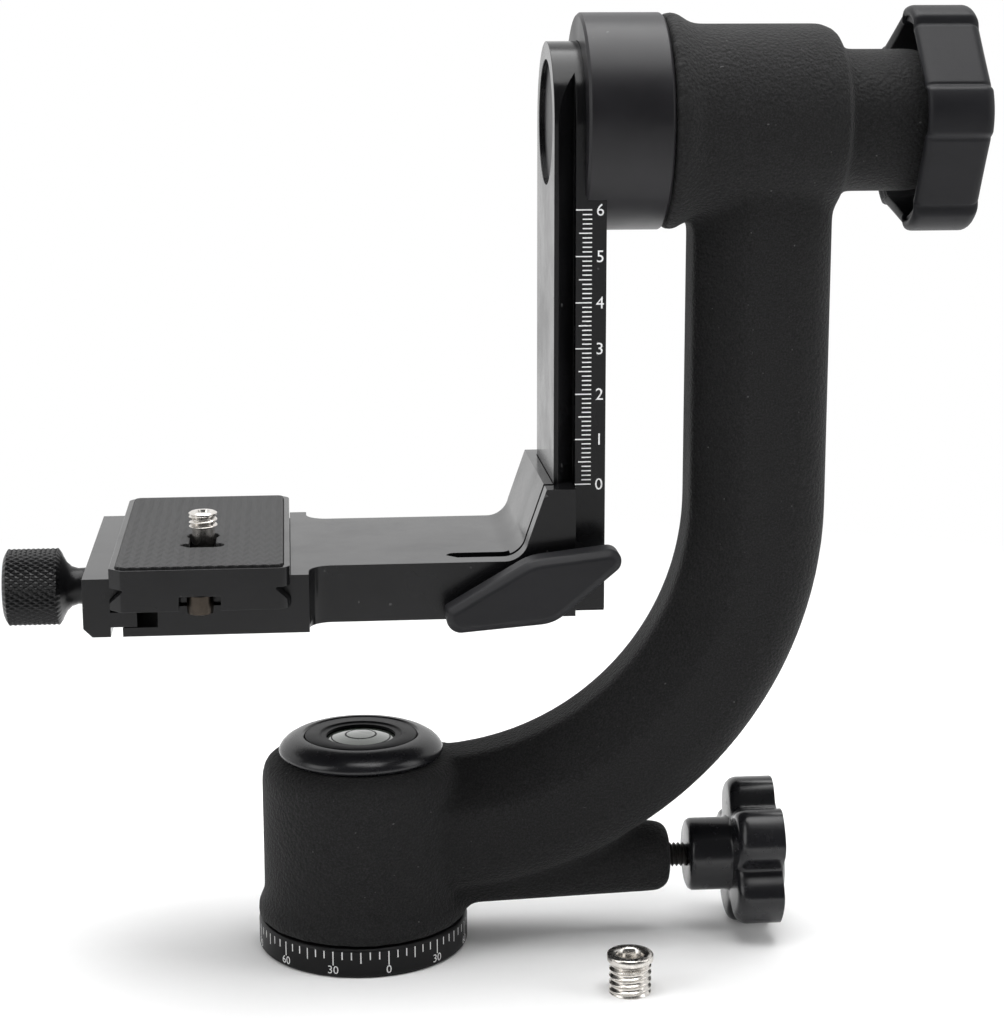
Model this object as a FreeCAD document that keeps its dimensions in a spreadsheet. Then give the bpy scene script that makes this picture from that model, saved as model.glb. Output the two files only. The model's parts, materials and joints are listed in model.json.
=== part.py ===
import FreeCAD, Part
import math
import os
import re
import Sketcher

# A gimbal tripod head: a pan base, a cast yoke on it, a tilting rail in the
# yoke's head, and a bracket with a quick release clamp that slides on the rail.
# +Z is up, the origin is the middle of the base's underside, the yoke's arm
# and its knobs are on the +X side, and the front faces -Y.  Millimetres.

# Every driving size: name, value, what it measures.
SIZES = [
    # pan base
    ("base_radius", 24.3, "pan scale ring"),
    ("ring_height", 7.0, "pan scale ring"),
    ("edge_chamfer", 0.6, "edges of machined rings"),
    ("corner_share", 0.29, "a round corner's middle, inside its sharp corner, over its radius"),
    ("spindle_radius", 8.0, "pan spindle"),
    ("spindle_top", 38.5, "top of the pan spindle"),
    ("spindle_thread_radius", 6.0, "threaded top of the spindle"),
    ("tripod_thread_radius", 4.76, "3/8 inch tripod thread"),
    ("tripod_thread_depth", 12.0, "3/8 inch tripod thread"),
    ("screw_thread_radius", 3.175, "1/4 inch screw"),
    ("bushing_height", 9.0, "loose thread reducer"),
    ("bushing_x", 57.8, "where the loose reducer stands"),
    ("bushing_y", -36.5, "where the loose reducer stands"),
    ("bushing_slot", 1.3, "screwdriver slot of the reducer"),
    ("bushing_slot_depth", 1.8, "screwdriver slot of the reducer"),
    ("bushing_lip", 0.45, "how far the reducer's head stands over its thread"),
    ("bushing_lip_height", 1.4, "head of the reducer"),
    # fits
    ("running_fit", 0.05, "radial play of a turning fit"),
    ("thrust_gap", 0.06, "axial play of a turning fit"),
    ("slide_gap", 0.12, "play of a sliding fit"),
    ("clear_gap", 0.3, "free gap between bodies"),
    # pan bearing
    ("pan_bore_radius", 12.5, "bore of the yoke's foot"),
    ("pan_washer_radius", 19.0, "thrust washer"),
    ("pan_washer_thick", 1.2, "thrust washer"),
    ("pan_shoulder_radius", 9.6, "bore between the two bearings"),
    ("pan_bearing_height", 5.0, "ball bearings"),
    ("upper_bearing_base", 26.0, "height of the upper bearing's seat"),
    ("spring_washer_thick", 1.0, "conical spring washer"),
    ("pan_nut_radius", 10.5, "retaining nut"),
    ("pan_nut_height", 5.0, "retaining nut"),
    # yoke
    ("foot_inside_base", 1.4, "how far the foot's waist is inside the base ring"),
    ("foot_over_base", 0.1, "how far the foot's lower rim is over the base ring"),
    ("foot_flare_height", 5.5, "height over which the rim flares"),
    ("foot_top", 45.6, "top of the yoke's foot"),
    ("foot_round", 4.0, "rounding of the foot's top edge"),
    ("arm_x", 90.5, "middle line of the upright arm"),
    ("arm_wide", 30.8, "arm across, in the plane of the bend"),
    ("arm_deep", 30.0, "arm from front to back"),
    ("arm_corner", 10.0, "corner radius of the arm's section"),
    ("bend_radius", 74.5, "middle line of the bend"),
    ("bend_z", 104.0, "height where the bend begins"),
    ("boss_radius", 8.3, "boss of the pan lock"),
    ("boss_root_radius", 10.4, "boss of the pan lock, at the pan axis"),
    ("boss_end", 72.0, "end of the boss of the pan lock"),
    ("boss_round", 3.0, "rounding of the boss"),
    ("stud_z", 18.0, "height of the pan lock"),
    ("tilt_z", 189.0, "height of the tilt axis"),
    ("collar_radius", 23.8, "collar of the yoke's head beside the drum"),
    ("collar_wide", 2.4, "collar of the yoke's head"),
    ("collar_taper", 4.0, "slope from the collar to the head"),
    ("head_radius", 21.2, "head of the yoke"),
    ("head_end", 107.6, "right end of the yoke's head"),
    ("head_round", 4.6, "rounding of the head's right edge"),
    ("neck_radius", 15.65, "neck under the tilt knob"),
    ("neck_end", 126.0, "end of the neck"),
    # level
    ("cap_radius", 18.9, "level cap"),
    ("cap_edge", 1.2, "level cap's rim"),
    ("cap_land", 13.4, "inner rim of the cap's dome"),
    ("cap_height", 4.6, "level cap over the foot"),
    ("spigot_depth", 6.0, "spigot of the cap in the foot's bore"),
    ("insert_radius", 12.9, "disc that holds the vial"),
    ("window_radius", 7.9, "window over the vial"),
    ("vial_height", 6.0, "vial of the level"),
    # pan lock
    ("stud_radius", 2.9, "pan lock stud"),
    ("shoe_radius", 4.0, "brass brake shoe"),
    ("shoe_length", 6.0, "brass brake shoe"),
    ("hub_radius", 8.5, "hub of the pan knob"),
    ("hub_left", 76.2, "left face of the pan knob's hub"),
    ("hub_chamfer", 1.2, "hub of the pan knob"),
    ("star_left", 86.2, "left face of the pan knob's star"),
    ("star_right", 99.4, "right end of the pan knob"),
    ("star_radius", 17.9, "tips of the pan knob's lobes"),
    ("star_valley", 12.6, "valleys between the pan knob's lobes"),
    ("star_gap_radius", 4.2, "round gaps between the pan knob's lobes"),
    ("star_lobe_round", 3.4, "rounding where gaps and lobes meet"),
    ("star_dome", 2.8, "rise of the pan knob's outer face"),
    ("star_round", 3.0, "edge rounding of the pan knob"),
    ("star_turn", 90.0, "degrees that the pan knob is turned"),
    # tilt drum and axle
    ("drum_left", 49.4, "left face of the tilt drum"),
    ("drum_right", 67.9, "right face of the tilt drum"),
    ("drum_radius", 23.65, "tilt drum"),
    ("axle_radius", 8.0, "tilt axle"),
    ("axle_thread_radius", 4.0, "threaded end of the tilt axle"),
    ("axle_end", 134.0, "end of the tilt axle"),
    ("tilt_bore_radius", 14.0, "bearing seats in the yoke's head"),
    ("tilt_bearing_wide", 7.0, "tilt bearings"),
    ("tilt_shoulder_radius", 9.6, "bore between the tilt bearings"),
    ("tilt_bearing_gap", 22.0, "distance between the tilt bearings"),
    ("friction_washer_thick", 1.2, "washer beside the drum"),
    ("thrust_washer_radius", 11.5, "washer under the tilt knob"),
    ("thrust_washer_thick", 1.5, "washer under the tilt knob"),
    # tilt knob
    ("grip_radius", 25.4, "tips of the tilt knob's lobes"),
    ("grip_valley", 21.8, "flats between the tilt knob's lobes"),
    ("grip_flat_half", 9.0, "half of each flat of the tilt knob"),
    ("grip_flank", 2.0, "run over rise of the flanks beside each flat"),
    ("grip_crease_round", 0.8, "crease beside each flat"),
    ("grip_lobe_round", 2.8, "rounding of the lobes' long edges"),
    ("grip_dome", 3.2, "rise of the tilt knob's outer face"),
    ("grip_pit_radius", 5.2, "hollow behind each lobe of the tilt knob"),
    ("grip_turn", 47.0, "degrees that the tilt knob is turned"),
    ("grip_left", 122.0, "open rim of the tilt knob"),
    ("grip_right", 137.8, "outer face of the tilt knob"),
    ("grip_wall", 2.6, "wall of the tilt knob"),
    ("grip_end_wall", 3.4, "outer wall of the tilt knob"),
    ("grip_round", 3.0, "edge rounding of the tilt knob"),
    ("grip_hub_radius", 9.5, "hub inside the tilt knob"),
    ("knob_insert_radius", 6.5, "brass insert in the tilt knob"),
    # rail
    ("rail_left", 42.6, "left face of the rail"),
    ("rail_thick", 11.4, "rail from left to right"),
    ("rail_half", 17.5, "half of the rail's width"),
    ("rail_bottom", 82.4, "lower end of the rail"),
    ("rail_flange", 0.9, "straight edge of the dovetail"),
    ("rail_groove", 3.8, "width of the dovetail groove"),
    ("rail_edge_round", 0.6, "lower corners of the rail"),
    ("recess_radius", 13.6, "round recess of the rail"),
    ("recess_depth", 5.6, "round recess of the rail"),
    ("recess_cap_thick", 1.5, "disc in the recess"),
    ("recess_cap_sink", 1.2, "how deep the disc lies"),
    ("axle_bolt_radius", 3.0, "bolt that holds the rail on the axle"),
    ("axle_bolt_head_radius", 5.1, "head of the axle bolt"),
    ("axle_bolt_length", 20.0, "bolt that holds the rail on the axle"),
    ("drum_screw_radius", 1.5, "screws that hold the rail on the drum"),
    ("drum_screw_head_radius", 2.85, "heads of the drum screws"),
    ("drum_screw_reach", 10.2, "screws to the tilt axis"),
    ("drum_screw_length", 14.0, "screws that hold the rail on the drum"),
    # bracket
    ("platform_bottom", 83.0, "underside of the bracket"),
    ("platform_top", 95.7, "top of the platform arm"),
    ("platform_half", 24.0, "half of the platform arm's width"),
    ("riser_top", 111.4, "top of the riser and of its jaw"),
    ("riser_right", 46.8, "right end of the jaws on the rail"),
    ("riser_top_left", 40.4, "top left edge of the riser"),
    ("riser_foot_left", 36.4, "lower end of the riser's slope"),
    ("riser_foot_z", 99.9, "lower end of the riser's slope"),
    ("riser_fillet", 5.2, "fillet between riser and platform"),
    ("kerf_front", 19.2, "kerf's front wall, from the middle plane"),
    ("kerf_wide", 1.7, "kerf beside the jaw"),
    ("relief_wide", 4.6, "relief slot at the end of the kerf"),
    ("relief_left", 19.0, "left end of the relief slot"),
    ("relief_right", 33.0, "right end of the relief slot"),
    # clamp
    ("clamp_right", -11.4, "right end of the clamp block"),
    ("clamp_left", -51.0, "left end of the clamp block"),
    ("clamp_half", 32.0, "half of the clamp's length"),
    ("clamp_fillet", 5.0, "fillets between clamp and platform"),
    ("clamp_floor", 89.5, "floor of the clamp's channel"),
    ("ledge_right", -43.6, "pocket for the jaw's ribs"),
    ("ledge_top", 85.0, "floor of the pocket for the jaw's ribs"),
    ("jaw_thick", 5.8, "moving jaw"),
    ("jaw_rib_length", 5.6, "ribs of the moving jaw"),
    ("jaw_rib_thick", 3.3, "ribs of the moving jaw"),
    ("jaw_rib_inner", 12.0, "inner ends of the ribs"),
    ("jaw_chamfer", 1.9, "lower left edge of the moving jaw"),
    ("clamp_screw_radius", 2.4, "clamp screw"),
    ("clamp_screw_z", 86.6, "height of the clamp screw"),
    ("clamp_screw_end", -26.0, "inner end of the clamp screw"),
    ("clamp_knob_radius", 8.7, "knurled knob"),
    ("clamp_knob_length", 12.9, "knurled part of the knob"),
    ("clamp_neck_radius", 4.0, "neck of the knurled knob"),
    ("clamp_neck_length", 6.9, "neck of the knurled knob"),
    ("clamp_knob_chamfer", 1.0, "ends of the knurl"),
    ("clamp_knob_swell", 1.5, "rise of the knob behind its neck"),
    # quick release plate
    ("plate_x", -34.4, "middle of the plate"),
    ("plate_half", 19.0, "half of the plate's width"),
    ("plate_length", 75.0, "plate from front to back"),
    ("plate_thick", 9.0, "plate without its rubber"),
    ("plate_corner", 2.6, "corners of the plate"),
    ("dovetail_flange", 1.5, "lower edge of the plate's dovetail"),
    ("dovetail_deep", 2.9, "depth of the plate's dovetail"),
    ("dovetail_top", 4.8, "height of the groove's upper side"),
    ("pad_rim", 1.3, "metal rim around the rubber"),
    ("pad_sink", 1.2, "depth of the rubber's seat"),
    ("pad_thick", 1.7, "rubber"),
    ("pad_corner", 1.6, "corners of the rubber"),
    ("pad_slot_half", 4.8, "half of the oblong hole in the rubber"),
    ("pad_slot_wide", 4.2, "oblong hole in the rubber"),
    ("pad_slot_y", -16.4, "oblong hole in the rubber"),
    ("screw_way_half", 2.9, "slot that the camera screw slides along"),
    ("camera_screw_y", -7.0, "camera screw"),
    ("camera_screw_reach", 5.6, "camera screw over the rubber"),
    ("camera_neck_radius", 2.6, "undercut of the camera screw"),
    ("camera_head_radius", 7.5, "head of the camera screw"),
    ("camera_head_thick", 2.6, "head of the camera screw"),
    ("stop_inset", 2.6, "stop screws inside the plate's ends"),
    ("stop_radius", 2.8, "stop screws"),
    ("stop_below", 1.2, "stop screws under the plate"),
    ("stop_notch_half", 4.4, "notches for the stop screws"),
    ("stop_notch_height", 3.1, "notches for the stop screws"),
    # rail lever
    ("lever_x", 38.3, "pivot of the rail lever"),
    ("lever_z", 90.2, "pivot of the rail lever"),
    ("lever_thick", 7.0, "rail lever"),
    ("lever_stand", 2.4, "gap between lever and jaw"),
    ("lever_boss_radius", 5.0, "boss of the rail lever"),
    ("lever_screw_radius", 2.5, "screw of the rail lever"),
    ("lever_front_wall", 3.0, "lever in front of its screw"),
    ("lever_screw_reach", 12.0, "screw's hold behind the kerf"),
    ("lever_bevel", 1.5, "bevel around the lever's front"),
    ("lever_tail", 20.4, "pivot to the lever's left end"),
    ("lever_tail_low", 8.6, "lower corner of the left end, under the pivot"),
    ("lever_tail_high", 3.15, "upper corner of the left end, under the pivot"),
    ("lever_tail_round", 3.2, "lower corner of the left end"),
    ("lever_belly", 3.0, "bend of the lower edge, right of the pivot"),
    ("lever_belly_low", 6.7, "bend of the lower edge, under the pivot"),
    ("lever_belly_round", 9.0, "bend of the lower edge"),
    ("lever_tip", 23.45, "where the edges of the tip would meet"),
    ("lever_tip_high", 10.5, "where the edges of the tip would meet"),
    ("lever_tip_round", 2.7, "tip of the lever"),
    ("lever_back", 2.2, "bend of the upper edge, left of the pivot"),
    ("lever_back_high", 7.5, "bend of the upper edge, over the pivot"),
    ("lever_back_round", 12.0, "bend of the upper edge"),
]

doc = FreeCAD.newDocument("gimbal_head")
sheet = doc.addObject("Spreadsheet::Sheet", "Sizes")
for row, (alias, size, note) in enumerate(SIZES, start=1):
    sheet.set("A%d" % row, note)
    sheet.set("B%d" % row, str(size))
    sheet.setAlias("B%d" % row, alias)
doc.recompute()
ALIASES = {alias for alias, size, note in SIZES}
WORD = re.compile(r"[a-z][a-z_]+[a-z]")

# sums of sizes that several pieces share
RAIL_RIGHT = "(rail_left + rail_thick)"
GROOVE_RIGHT = "(rail_left + rail_flange + rail_groove)"
GROOVE_LEFT = "(rail_left + rail_flange)"
GROOVE_HALF = "(rail_half - rail_groove)"
HEAD_LEFT = "(drum_right + clear_gap)"
FOOT_BOTTOM = "(ring_height + clear_gap)"
WASHER_TOP = "(ring_height + pan_washer_thick)"
LOWER_SEAT = "(ring_height + pan_washer_thick + thrust_gap)"
UPPER_TOP = "(upper_bearing_base + pan_bearing_height)"
NUT_BASE = "(upper_bearing_base + pan_bearing_height + thrust_gap + spring_washer_thick)"
CAP_TOP = "(foot_top + cap_height)"
PLATE_BOTTOM = "(clamp_floor + slide_gap)"
PLATE_TOP = "(clamp_floor + slide_gap + plate_thick)"
STOP_Y = "(plate_length / 2 - stop_inset)"
FOOT_RADIUS = "(base_radius - foot_inside_base)"
FOOT_FLARE = "(base_radius + foot_over_base)"
PAD_TOP = "(clamp_floor + slide_gap + plate_thick - pad_sink + pad_thick)"
JAW_RIGHT = "(plate_x - plate_half - slide_gap)"
JAW_LEFT = "(plate_x - plate_half - slide_gap - jaw_thick)"
LEVER_BACK = "(platform_half + lever_stand)"
LEVER_FRONT = "(platform_half + lever_stand + lever_thick)"
HEAD_SEAT_LEFT = "(drum_right + clear_gap + friction_washer_thick)"
SECOND_BEARING = "(drum_right + clear_gap + friction_washer_thick + tilt_bearing_wide + tilt_bearing_gap)"
THRUST_LEFT = "(neck_end + thrust_gap)"
KNOB_SEAT = "(neck_end + thrust_gap + thrust_washer_thick + thrust_gap)"
LOBES = 5
# millimetres within which two edges count as being in the same place
SAME_PLACE = 0.01


def linked(text):
    """The text with the sheet's name before each size."""
    def add_sheet(match):
        word = match.group()
        return "Sizes." + word if word in ALIASES else word
    return WORD.sub(add_sheet, text)


def value(text):
    """The number that a text of sizes stands for."""
    return float(sheet.evalExpression(text))


def bind(item, settings):
    """Bind an object's properties to the sheet."""
    for name, text in settings.items():
        item.setExpression(name, linked(text))


def new_body(label):
    body = doc.addObject("PartDesign::Body", label)
    body.Label = label
    return body


def new_sketch(body, name, plane, offsets=None):
    """A sketch on one of the body's own planes, moved by the offsets."""
    sketch = body.newObject("Sketcher::SketchObject", name)
    for feature in body.Origin.OriginFeatures:
        if feature.Role == plane:
            sketch.AttachmentSupport = [(feature, "")]
    sketch.MapMode = "FlatFace"
    for axis, text in (offsets or {}).items():
        sketch.setExpression("AttachmentOffset.Base." + axis, linked(text))
    return sketch


def arc_centre(start, end, radius, turn):
    """Centre of the short arc from start to end, turn +1 for anticlockwise."""
    across = end[0] - start[0]
    up = end[1] - start[1]
    chord = math.hypot(across, up)
    rise = math.sqrt(max(radius * radius - chord * chord / 4, 0.0)) * turn
    middle = ((start[0] + end[0]) / 2, (start[1] + end[1]) / 2)
    return (middle[0] - up / chord * rise, middle[1] + across / chord * rise)


def add_arc(sketch, start, end, radius, turn):
    """Add the short arc and return its start and end in travelling order."""
    centre = arc_centre(start, end, radius, turn)
    angles = [math.atan2(spot[1] - centre[1], spot[0] - centre[0]) for spot in (start, end)]
    if turn < 0:
        angles.reverse()
    circle = Part.Circle(FreeCAD.Vector(centre[0], centre[1], 0), FreeCAD.Vector(0, 0, 1), radius)
    number = sketch.addGeometry(Part.ArcOfCircle(circle, angles[0], angles[1]))
    return (number, 1, 2) if turn > 0 else (number, 2, 1)


def draw(sketch, outline, closed=True):
    """Draw lines and arcs through the outline's points, all bound to the sheet.

    A point is (across, up), reached by a line, or (across, up, radius, turn),
    reached by an arc.  The first point may also be an arc's end: then the arc
    closes the outline.
    """
    spots = [(value(point[0]), value(point[1])) for point in outline]
    count = len(outline)
    pieces = []
    for index in range(count if closed else count - 1):
        target = (index + 1) % count
        point = outline[target]
        if len(point) == 4:
            piece = add_arc(sketch, spots[index], spots[target], value(point[2]), point[3])
            held = sketch.addConstraint(Sketcher.Constraint("Radius", piece[0], value(point[2])))
            sketch.setExpression("Constraints[%d]" % held, linked(point[2]))
        else:
            ends = [FreeCAD.Vector(spots[spot][0], spots[spot][1], 0) for spot in (index, target)]
            piece = (sketch.addGeometry(Part.LineSegment(ends[0], ends[1])), 1, 2)
        pieces.append(piece)
    for index, piece in enumerate(pieces):
        if closed or index + 1 < len(pieces):
            after = pieces[(index + 1) % len(pieces)]
            sketch.addConstraint(Sketcher.Constraint("Coincident", piece[0], piece[2], after[0], after[1]))
    for index, point in enumerate(outline):
        last = not closed and index == count - 1
        piece = pieces[index - 1] if last else pieces[index]
        end = piece[2] if last else piece[1]
        for kind, text in (("DistanceX", point[0]), ("DistanceY", point[1])):
            rule = Sketcher.Constraint(kind, -1, 1, piece[0], end, value(text))
            held = sketch.addConstraint(rule)
            sketch.setExpression("Constraints[%d]" % held, linked(text))
    return sketch


def draw_circle(sketch, across, up, radius):
    """Draw a circle bound to the sheet."""
    centre = FreeCAD.Vector(value(across), value(up), 0)
    number = sketch.addGeometry(Part.Circle(centre, FreeCAD.Vector(0, 0, 1), value(radius)))
    for kind, text in (("DistanceX", across), ("DistanceY", up)):
        held = sketch.addConstraint(Sketcher.Constraint(kind, -1, 1, number, 3, value(text)))
        sketch.setExpression("Constraints[%d]" % held, linked(text))
    held = sketch.addConstraint(Sketcher.Constraint("Radius", number, value(radius)))
    sketch.setExpression("Constraints[%d]" % held, linked(radius))
    return sketch


def pad(body, sketch, length, midplane=False, reverse=False):
    feature = body.newObject("PartDesign::Pad", sketch.Name + "_pad")
    feature.Profile = sketch
    bind(feature, {"Length": length})
    feature.Midplane = midplane
    feature.Reversed = reverse
    doc.recompute()
    return feature


def checked_cut(body, feature, before):
    """Recompute a cut and make sure that it took something away."""
    doc.recompute()
    if feature.Shape.isNull() or feature.Shape.Volume > before - 1e-6:
        raise RuntimeError(feature.Name + " cuts nothing")
    return feature


def pocket(body, sketch, length=None, midplane=False, reverse=False):
    """Cut the sketch into the body, all the way through when no length is given."""
    before = body.Tip.Shape.Volume
    feature = body.newObject("PartDesign::Pocket", sketch.Name + "_cut")
    feature.Profile = sketch
    if length is None:
        feature.Type = "ThroughAll"
    else:
        bind(feature, {"Length": length})
    feature.Midplane = midplane
    feature.Reversed = reverse
    return checked_cut(body, feature, before)


def revolve(body, sketch, axis="H_Axis"):
    feature = body.newObject("PartDesign::Revolution", sketch.Name + "_turned")
    feature.Profile = sketch
    feature.ReferenceAxis = (sketch, [axis])
    feature.Angle = 360.0
    doc.recompute()
    return feature


def groove(body, sketch, axis="H_Axis"):
    before = body.Tip.Shape.Volume
    feature = body.newObject("PartDesign::Groove", sketch.Name + "_bored")
    feature.Profile = sketch
    feature.ReferenceAxis = (sketch, [axis])
    feature.Angle = 360.0
    return checked_cut(body, feature, before)


def copies_around(body, feature, sketch, count, axis):
    """Repeat a feature around a sketch's axis and make the pattern count."""
    pattern = body.newObject("PartDesign::PolarPattern", feature.Name + "_ring")
    pattern.Originals = [feature]
    pattern.Axis = (sketch, [axis])
    pattern.Angle = 360.0
    pattern.Occurrences = count
    body.Tip = pattern
    doc.recompute()
    return pattern


def place(item, along=None):
    """Put a sub-part where the sizes say."""
    for axis, text in (along or {}).items():
        item.setExpression("Placement.Base." + axis, linked(text))
    doc.recompute()
    return item


def turned_up(label, outline, along=None):
    """A piece turned about its own Z axis, from points (radius, height)."""
    body = new_body(label)
    revolve(body, draw(new_sketch(body, label + "_outline", "XZ_Plane"), outline), "V_Axis")
    return place(body, along)


def turned_across(label, outline, along=None):
    """A piece turned about its own X axis, from points (length, radius)."""
    body = new_body(label)
    revolve(body, draw(new_sketch(body, label + "_outline", "XZ_Plane"), outline), "H_Axis")
    return place(body, along)


def ring_up(label, inner, outer, low, high):
    """A plain ring about the pan axis."""
    outline = [(inner, "0"), (outer, "0"), (outer, "%s - %s" % (high, low)), (inner, "%s - %s" % (high, low))]
    return turned_up(label, outline, {"z": low})


def ring_across(label, inner, outer, left, wide):
    """A plain ring about the tilt axis."""
    outline = [("0", inner), (wide, inner), (wide, outer), ("0", outer)]
    return turned_across(label, outline, {"x": left, "z": "tilt_z"})


def edges_along(shape, near, far):
    """Names of the straight edges along X that lie between two radii."""
    names = []
    for number, edge in enumerate(shape.Edges, start=1):
        box = edge.BoundBox
        radius = math.hypot(box.Center.y, box.Center.z)
        if max(box.YLength, box.ZLength) < SAME_PLACE and near < radius < far:
            names.append("Edge%d" % number)
    return names


def round_edges(body, name, names, radius):
    fillet = body.newObject("PartDesign::Fillet", name)
    fillet.Base = (body.Group[-2], names)
    bind(fillet, {"Radius": radius})
    doc.recompute()
    return fillet


def bevel_edges(body, name, names, size):
    bevel = body.newObject("PartDesign::Chamfer", name)
    bevel.Base = (body.Group[-2], names)
    bind(bevel, {"Size": size})
    doc.recompute()
    return bevel


def round_rims(body, name, left, right, radius, size):
    """Turn off the outer corners at both ends of a lobed knob."""
    near = "(%s - %s)" % (radius, size)
    far = "(%s + %s)" % (radius, size)
    middle = "(%s - %s / 2)" % (radius, size)
    outer = "(%s + %s / 4)" % (right, size)
    groove(body, draw(new_sketch(body, name + "_right", "XZ_Plane"), [
        ("%s - %s" % (right, size), radius), (right, middle), (outer, near),
        ("%s + %s" % (right, size), near), ("%s + %s" % (right, size), far),
        ("%s - %s" % (right, size), far)]))
    groove(body, draw(new_sketch(body, name + "_left", "XZ_Plane"), [
        ("%s + %s" % (left, size), radius),
        ("%s + corner_share * %s" % (left, size), "%s - corner_share * %s" % (radius, size)), (left, near),
        ("%s - %s" % (left, size), near), ("%s - %s" % (left, size), far), ("%s + %s" % (left, size), far)]))


def lobed_body(label, blank, gap):
    """A turned blank with one gap between lobes, repeated around its axis."""
    body = new_body(label)
    revolve(body, draw(new_sketch(body, label + "_blank", "XZ_Plane"), blank))
    sketch = new_sketch(body, label + "_gap", "YZ_Plane")
    if len(gap) == 3:
        draw_circle(sketch, gap[0], gap[1], gap[2])
    else:
        draw(sketch, gap)
    copies_around(body, pocket(body, sketch, reverse=True), sketch, LOBES, "N_Axis")
    return body


def turn_about_x(body, height, degrees):
    body.Placement.Rotation = FreeCAD.Rotation(FreeCAD.Vector(1, 0, 0), value(degrees))
    bind(body, {"Placement.Rotation.Angle": degrees})
    place(body, {"z": height})


def make_pan_base():
    """Scale ring, spindle and blind tripod thread in one turned piece."""
    turned_up("pan_base", [
        ("tripod_thread_radius", "0"), ("base_radius - edge_chamfer", "0"), ("base_radius", "edge_chamfer"),
        ("base_radius", "ring_height - edge_chamfer"), ("base_radius - edge_chamfer", "ring_height"),
        ("spindle_radius", "ring_height"), ("spindle_radius", UPPER_TOP),
        ("spindle_thread_radius", UPPER_TOP), ("spindle_thread_radius", "spindle_top"), ("0", "spindle_top"),
        ("0", "tripod_thread_depth"), ("tripod_thread_radius", "tripod_thread_depth")])
    ring_up("pan_washer", "spindle_radius + running_fit", "pan_washer_radius", "ring_height", WASHER_TOP)
    turned_up("pan_spring_washer", [
        ("spindle_thread_radius + running_fit", "spring_washer_thick / 2"),
        ("pan_nut_radius", "0"), ("pan_nut_radius", "spring_washer_thick / 2"),
        ("spindle_thread_radius + running_fit", "spring_washer_thick")],
        {"z": "upper_bearing_base + pan_bearing_height + thrust_gap"})
    ring_up("pan_nut", "spindle_thread_radius + running_fit", "pan_nut_radius", NUT_BASE,
            NUT_BASE + " + pan_nut_height")


def make_bushing():
    """Loose thread reducer: a slotted head on a sleeve."""
    body = new_body("reducer_bushing")
    outer = "tripod_thread_radius"
    revolve(body, draw(new_sketch(body, "bushing_outline", "XZ_Plane"), [
        ("screw_thread_radius", "0"), (outer, "0"), (outer, "bushing_height - bushing_lip_height"),
        (outer + " + bushing_lip", "bushing_height - bushing_lip_height"),
        (outer + " + bushing_lip", "bushing_height"), ("screw_thread_radius", "bushing_height")]), "V_Axis")
    sketch = new_sketch(body, "bushing_slot_outline", "XY_Plane")
    reach = outer + " + 2 * bushing_lip"
    half = "bushing_slot / 2"
    draw(sketch, [("-(%s)" % reach, "-" + half), (reach, "-" + half), (reach, half), ("-(%s)" % reach, half)])
    pocket(body, sketch, "bushing_slot_depth", reverse=True)
    place(body, {"x": "bushing_x", "y": "bushing_y"})


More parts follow.
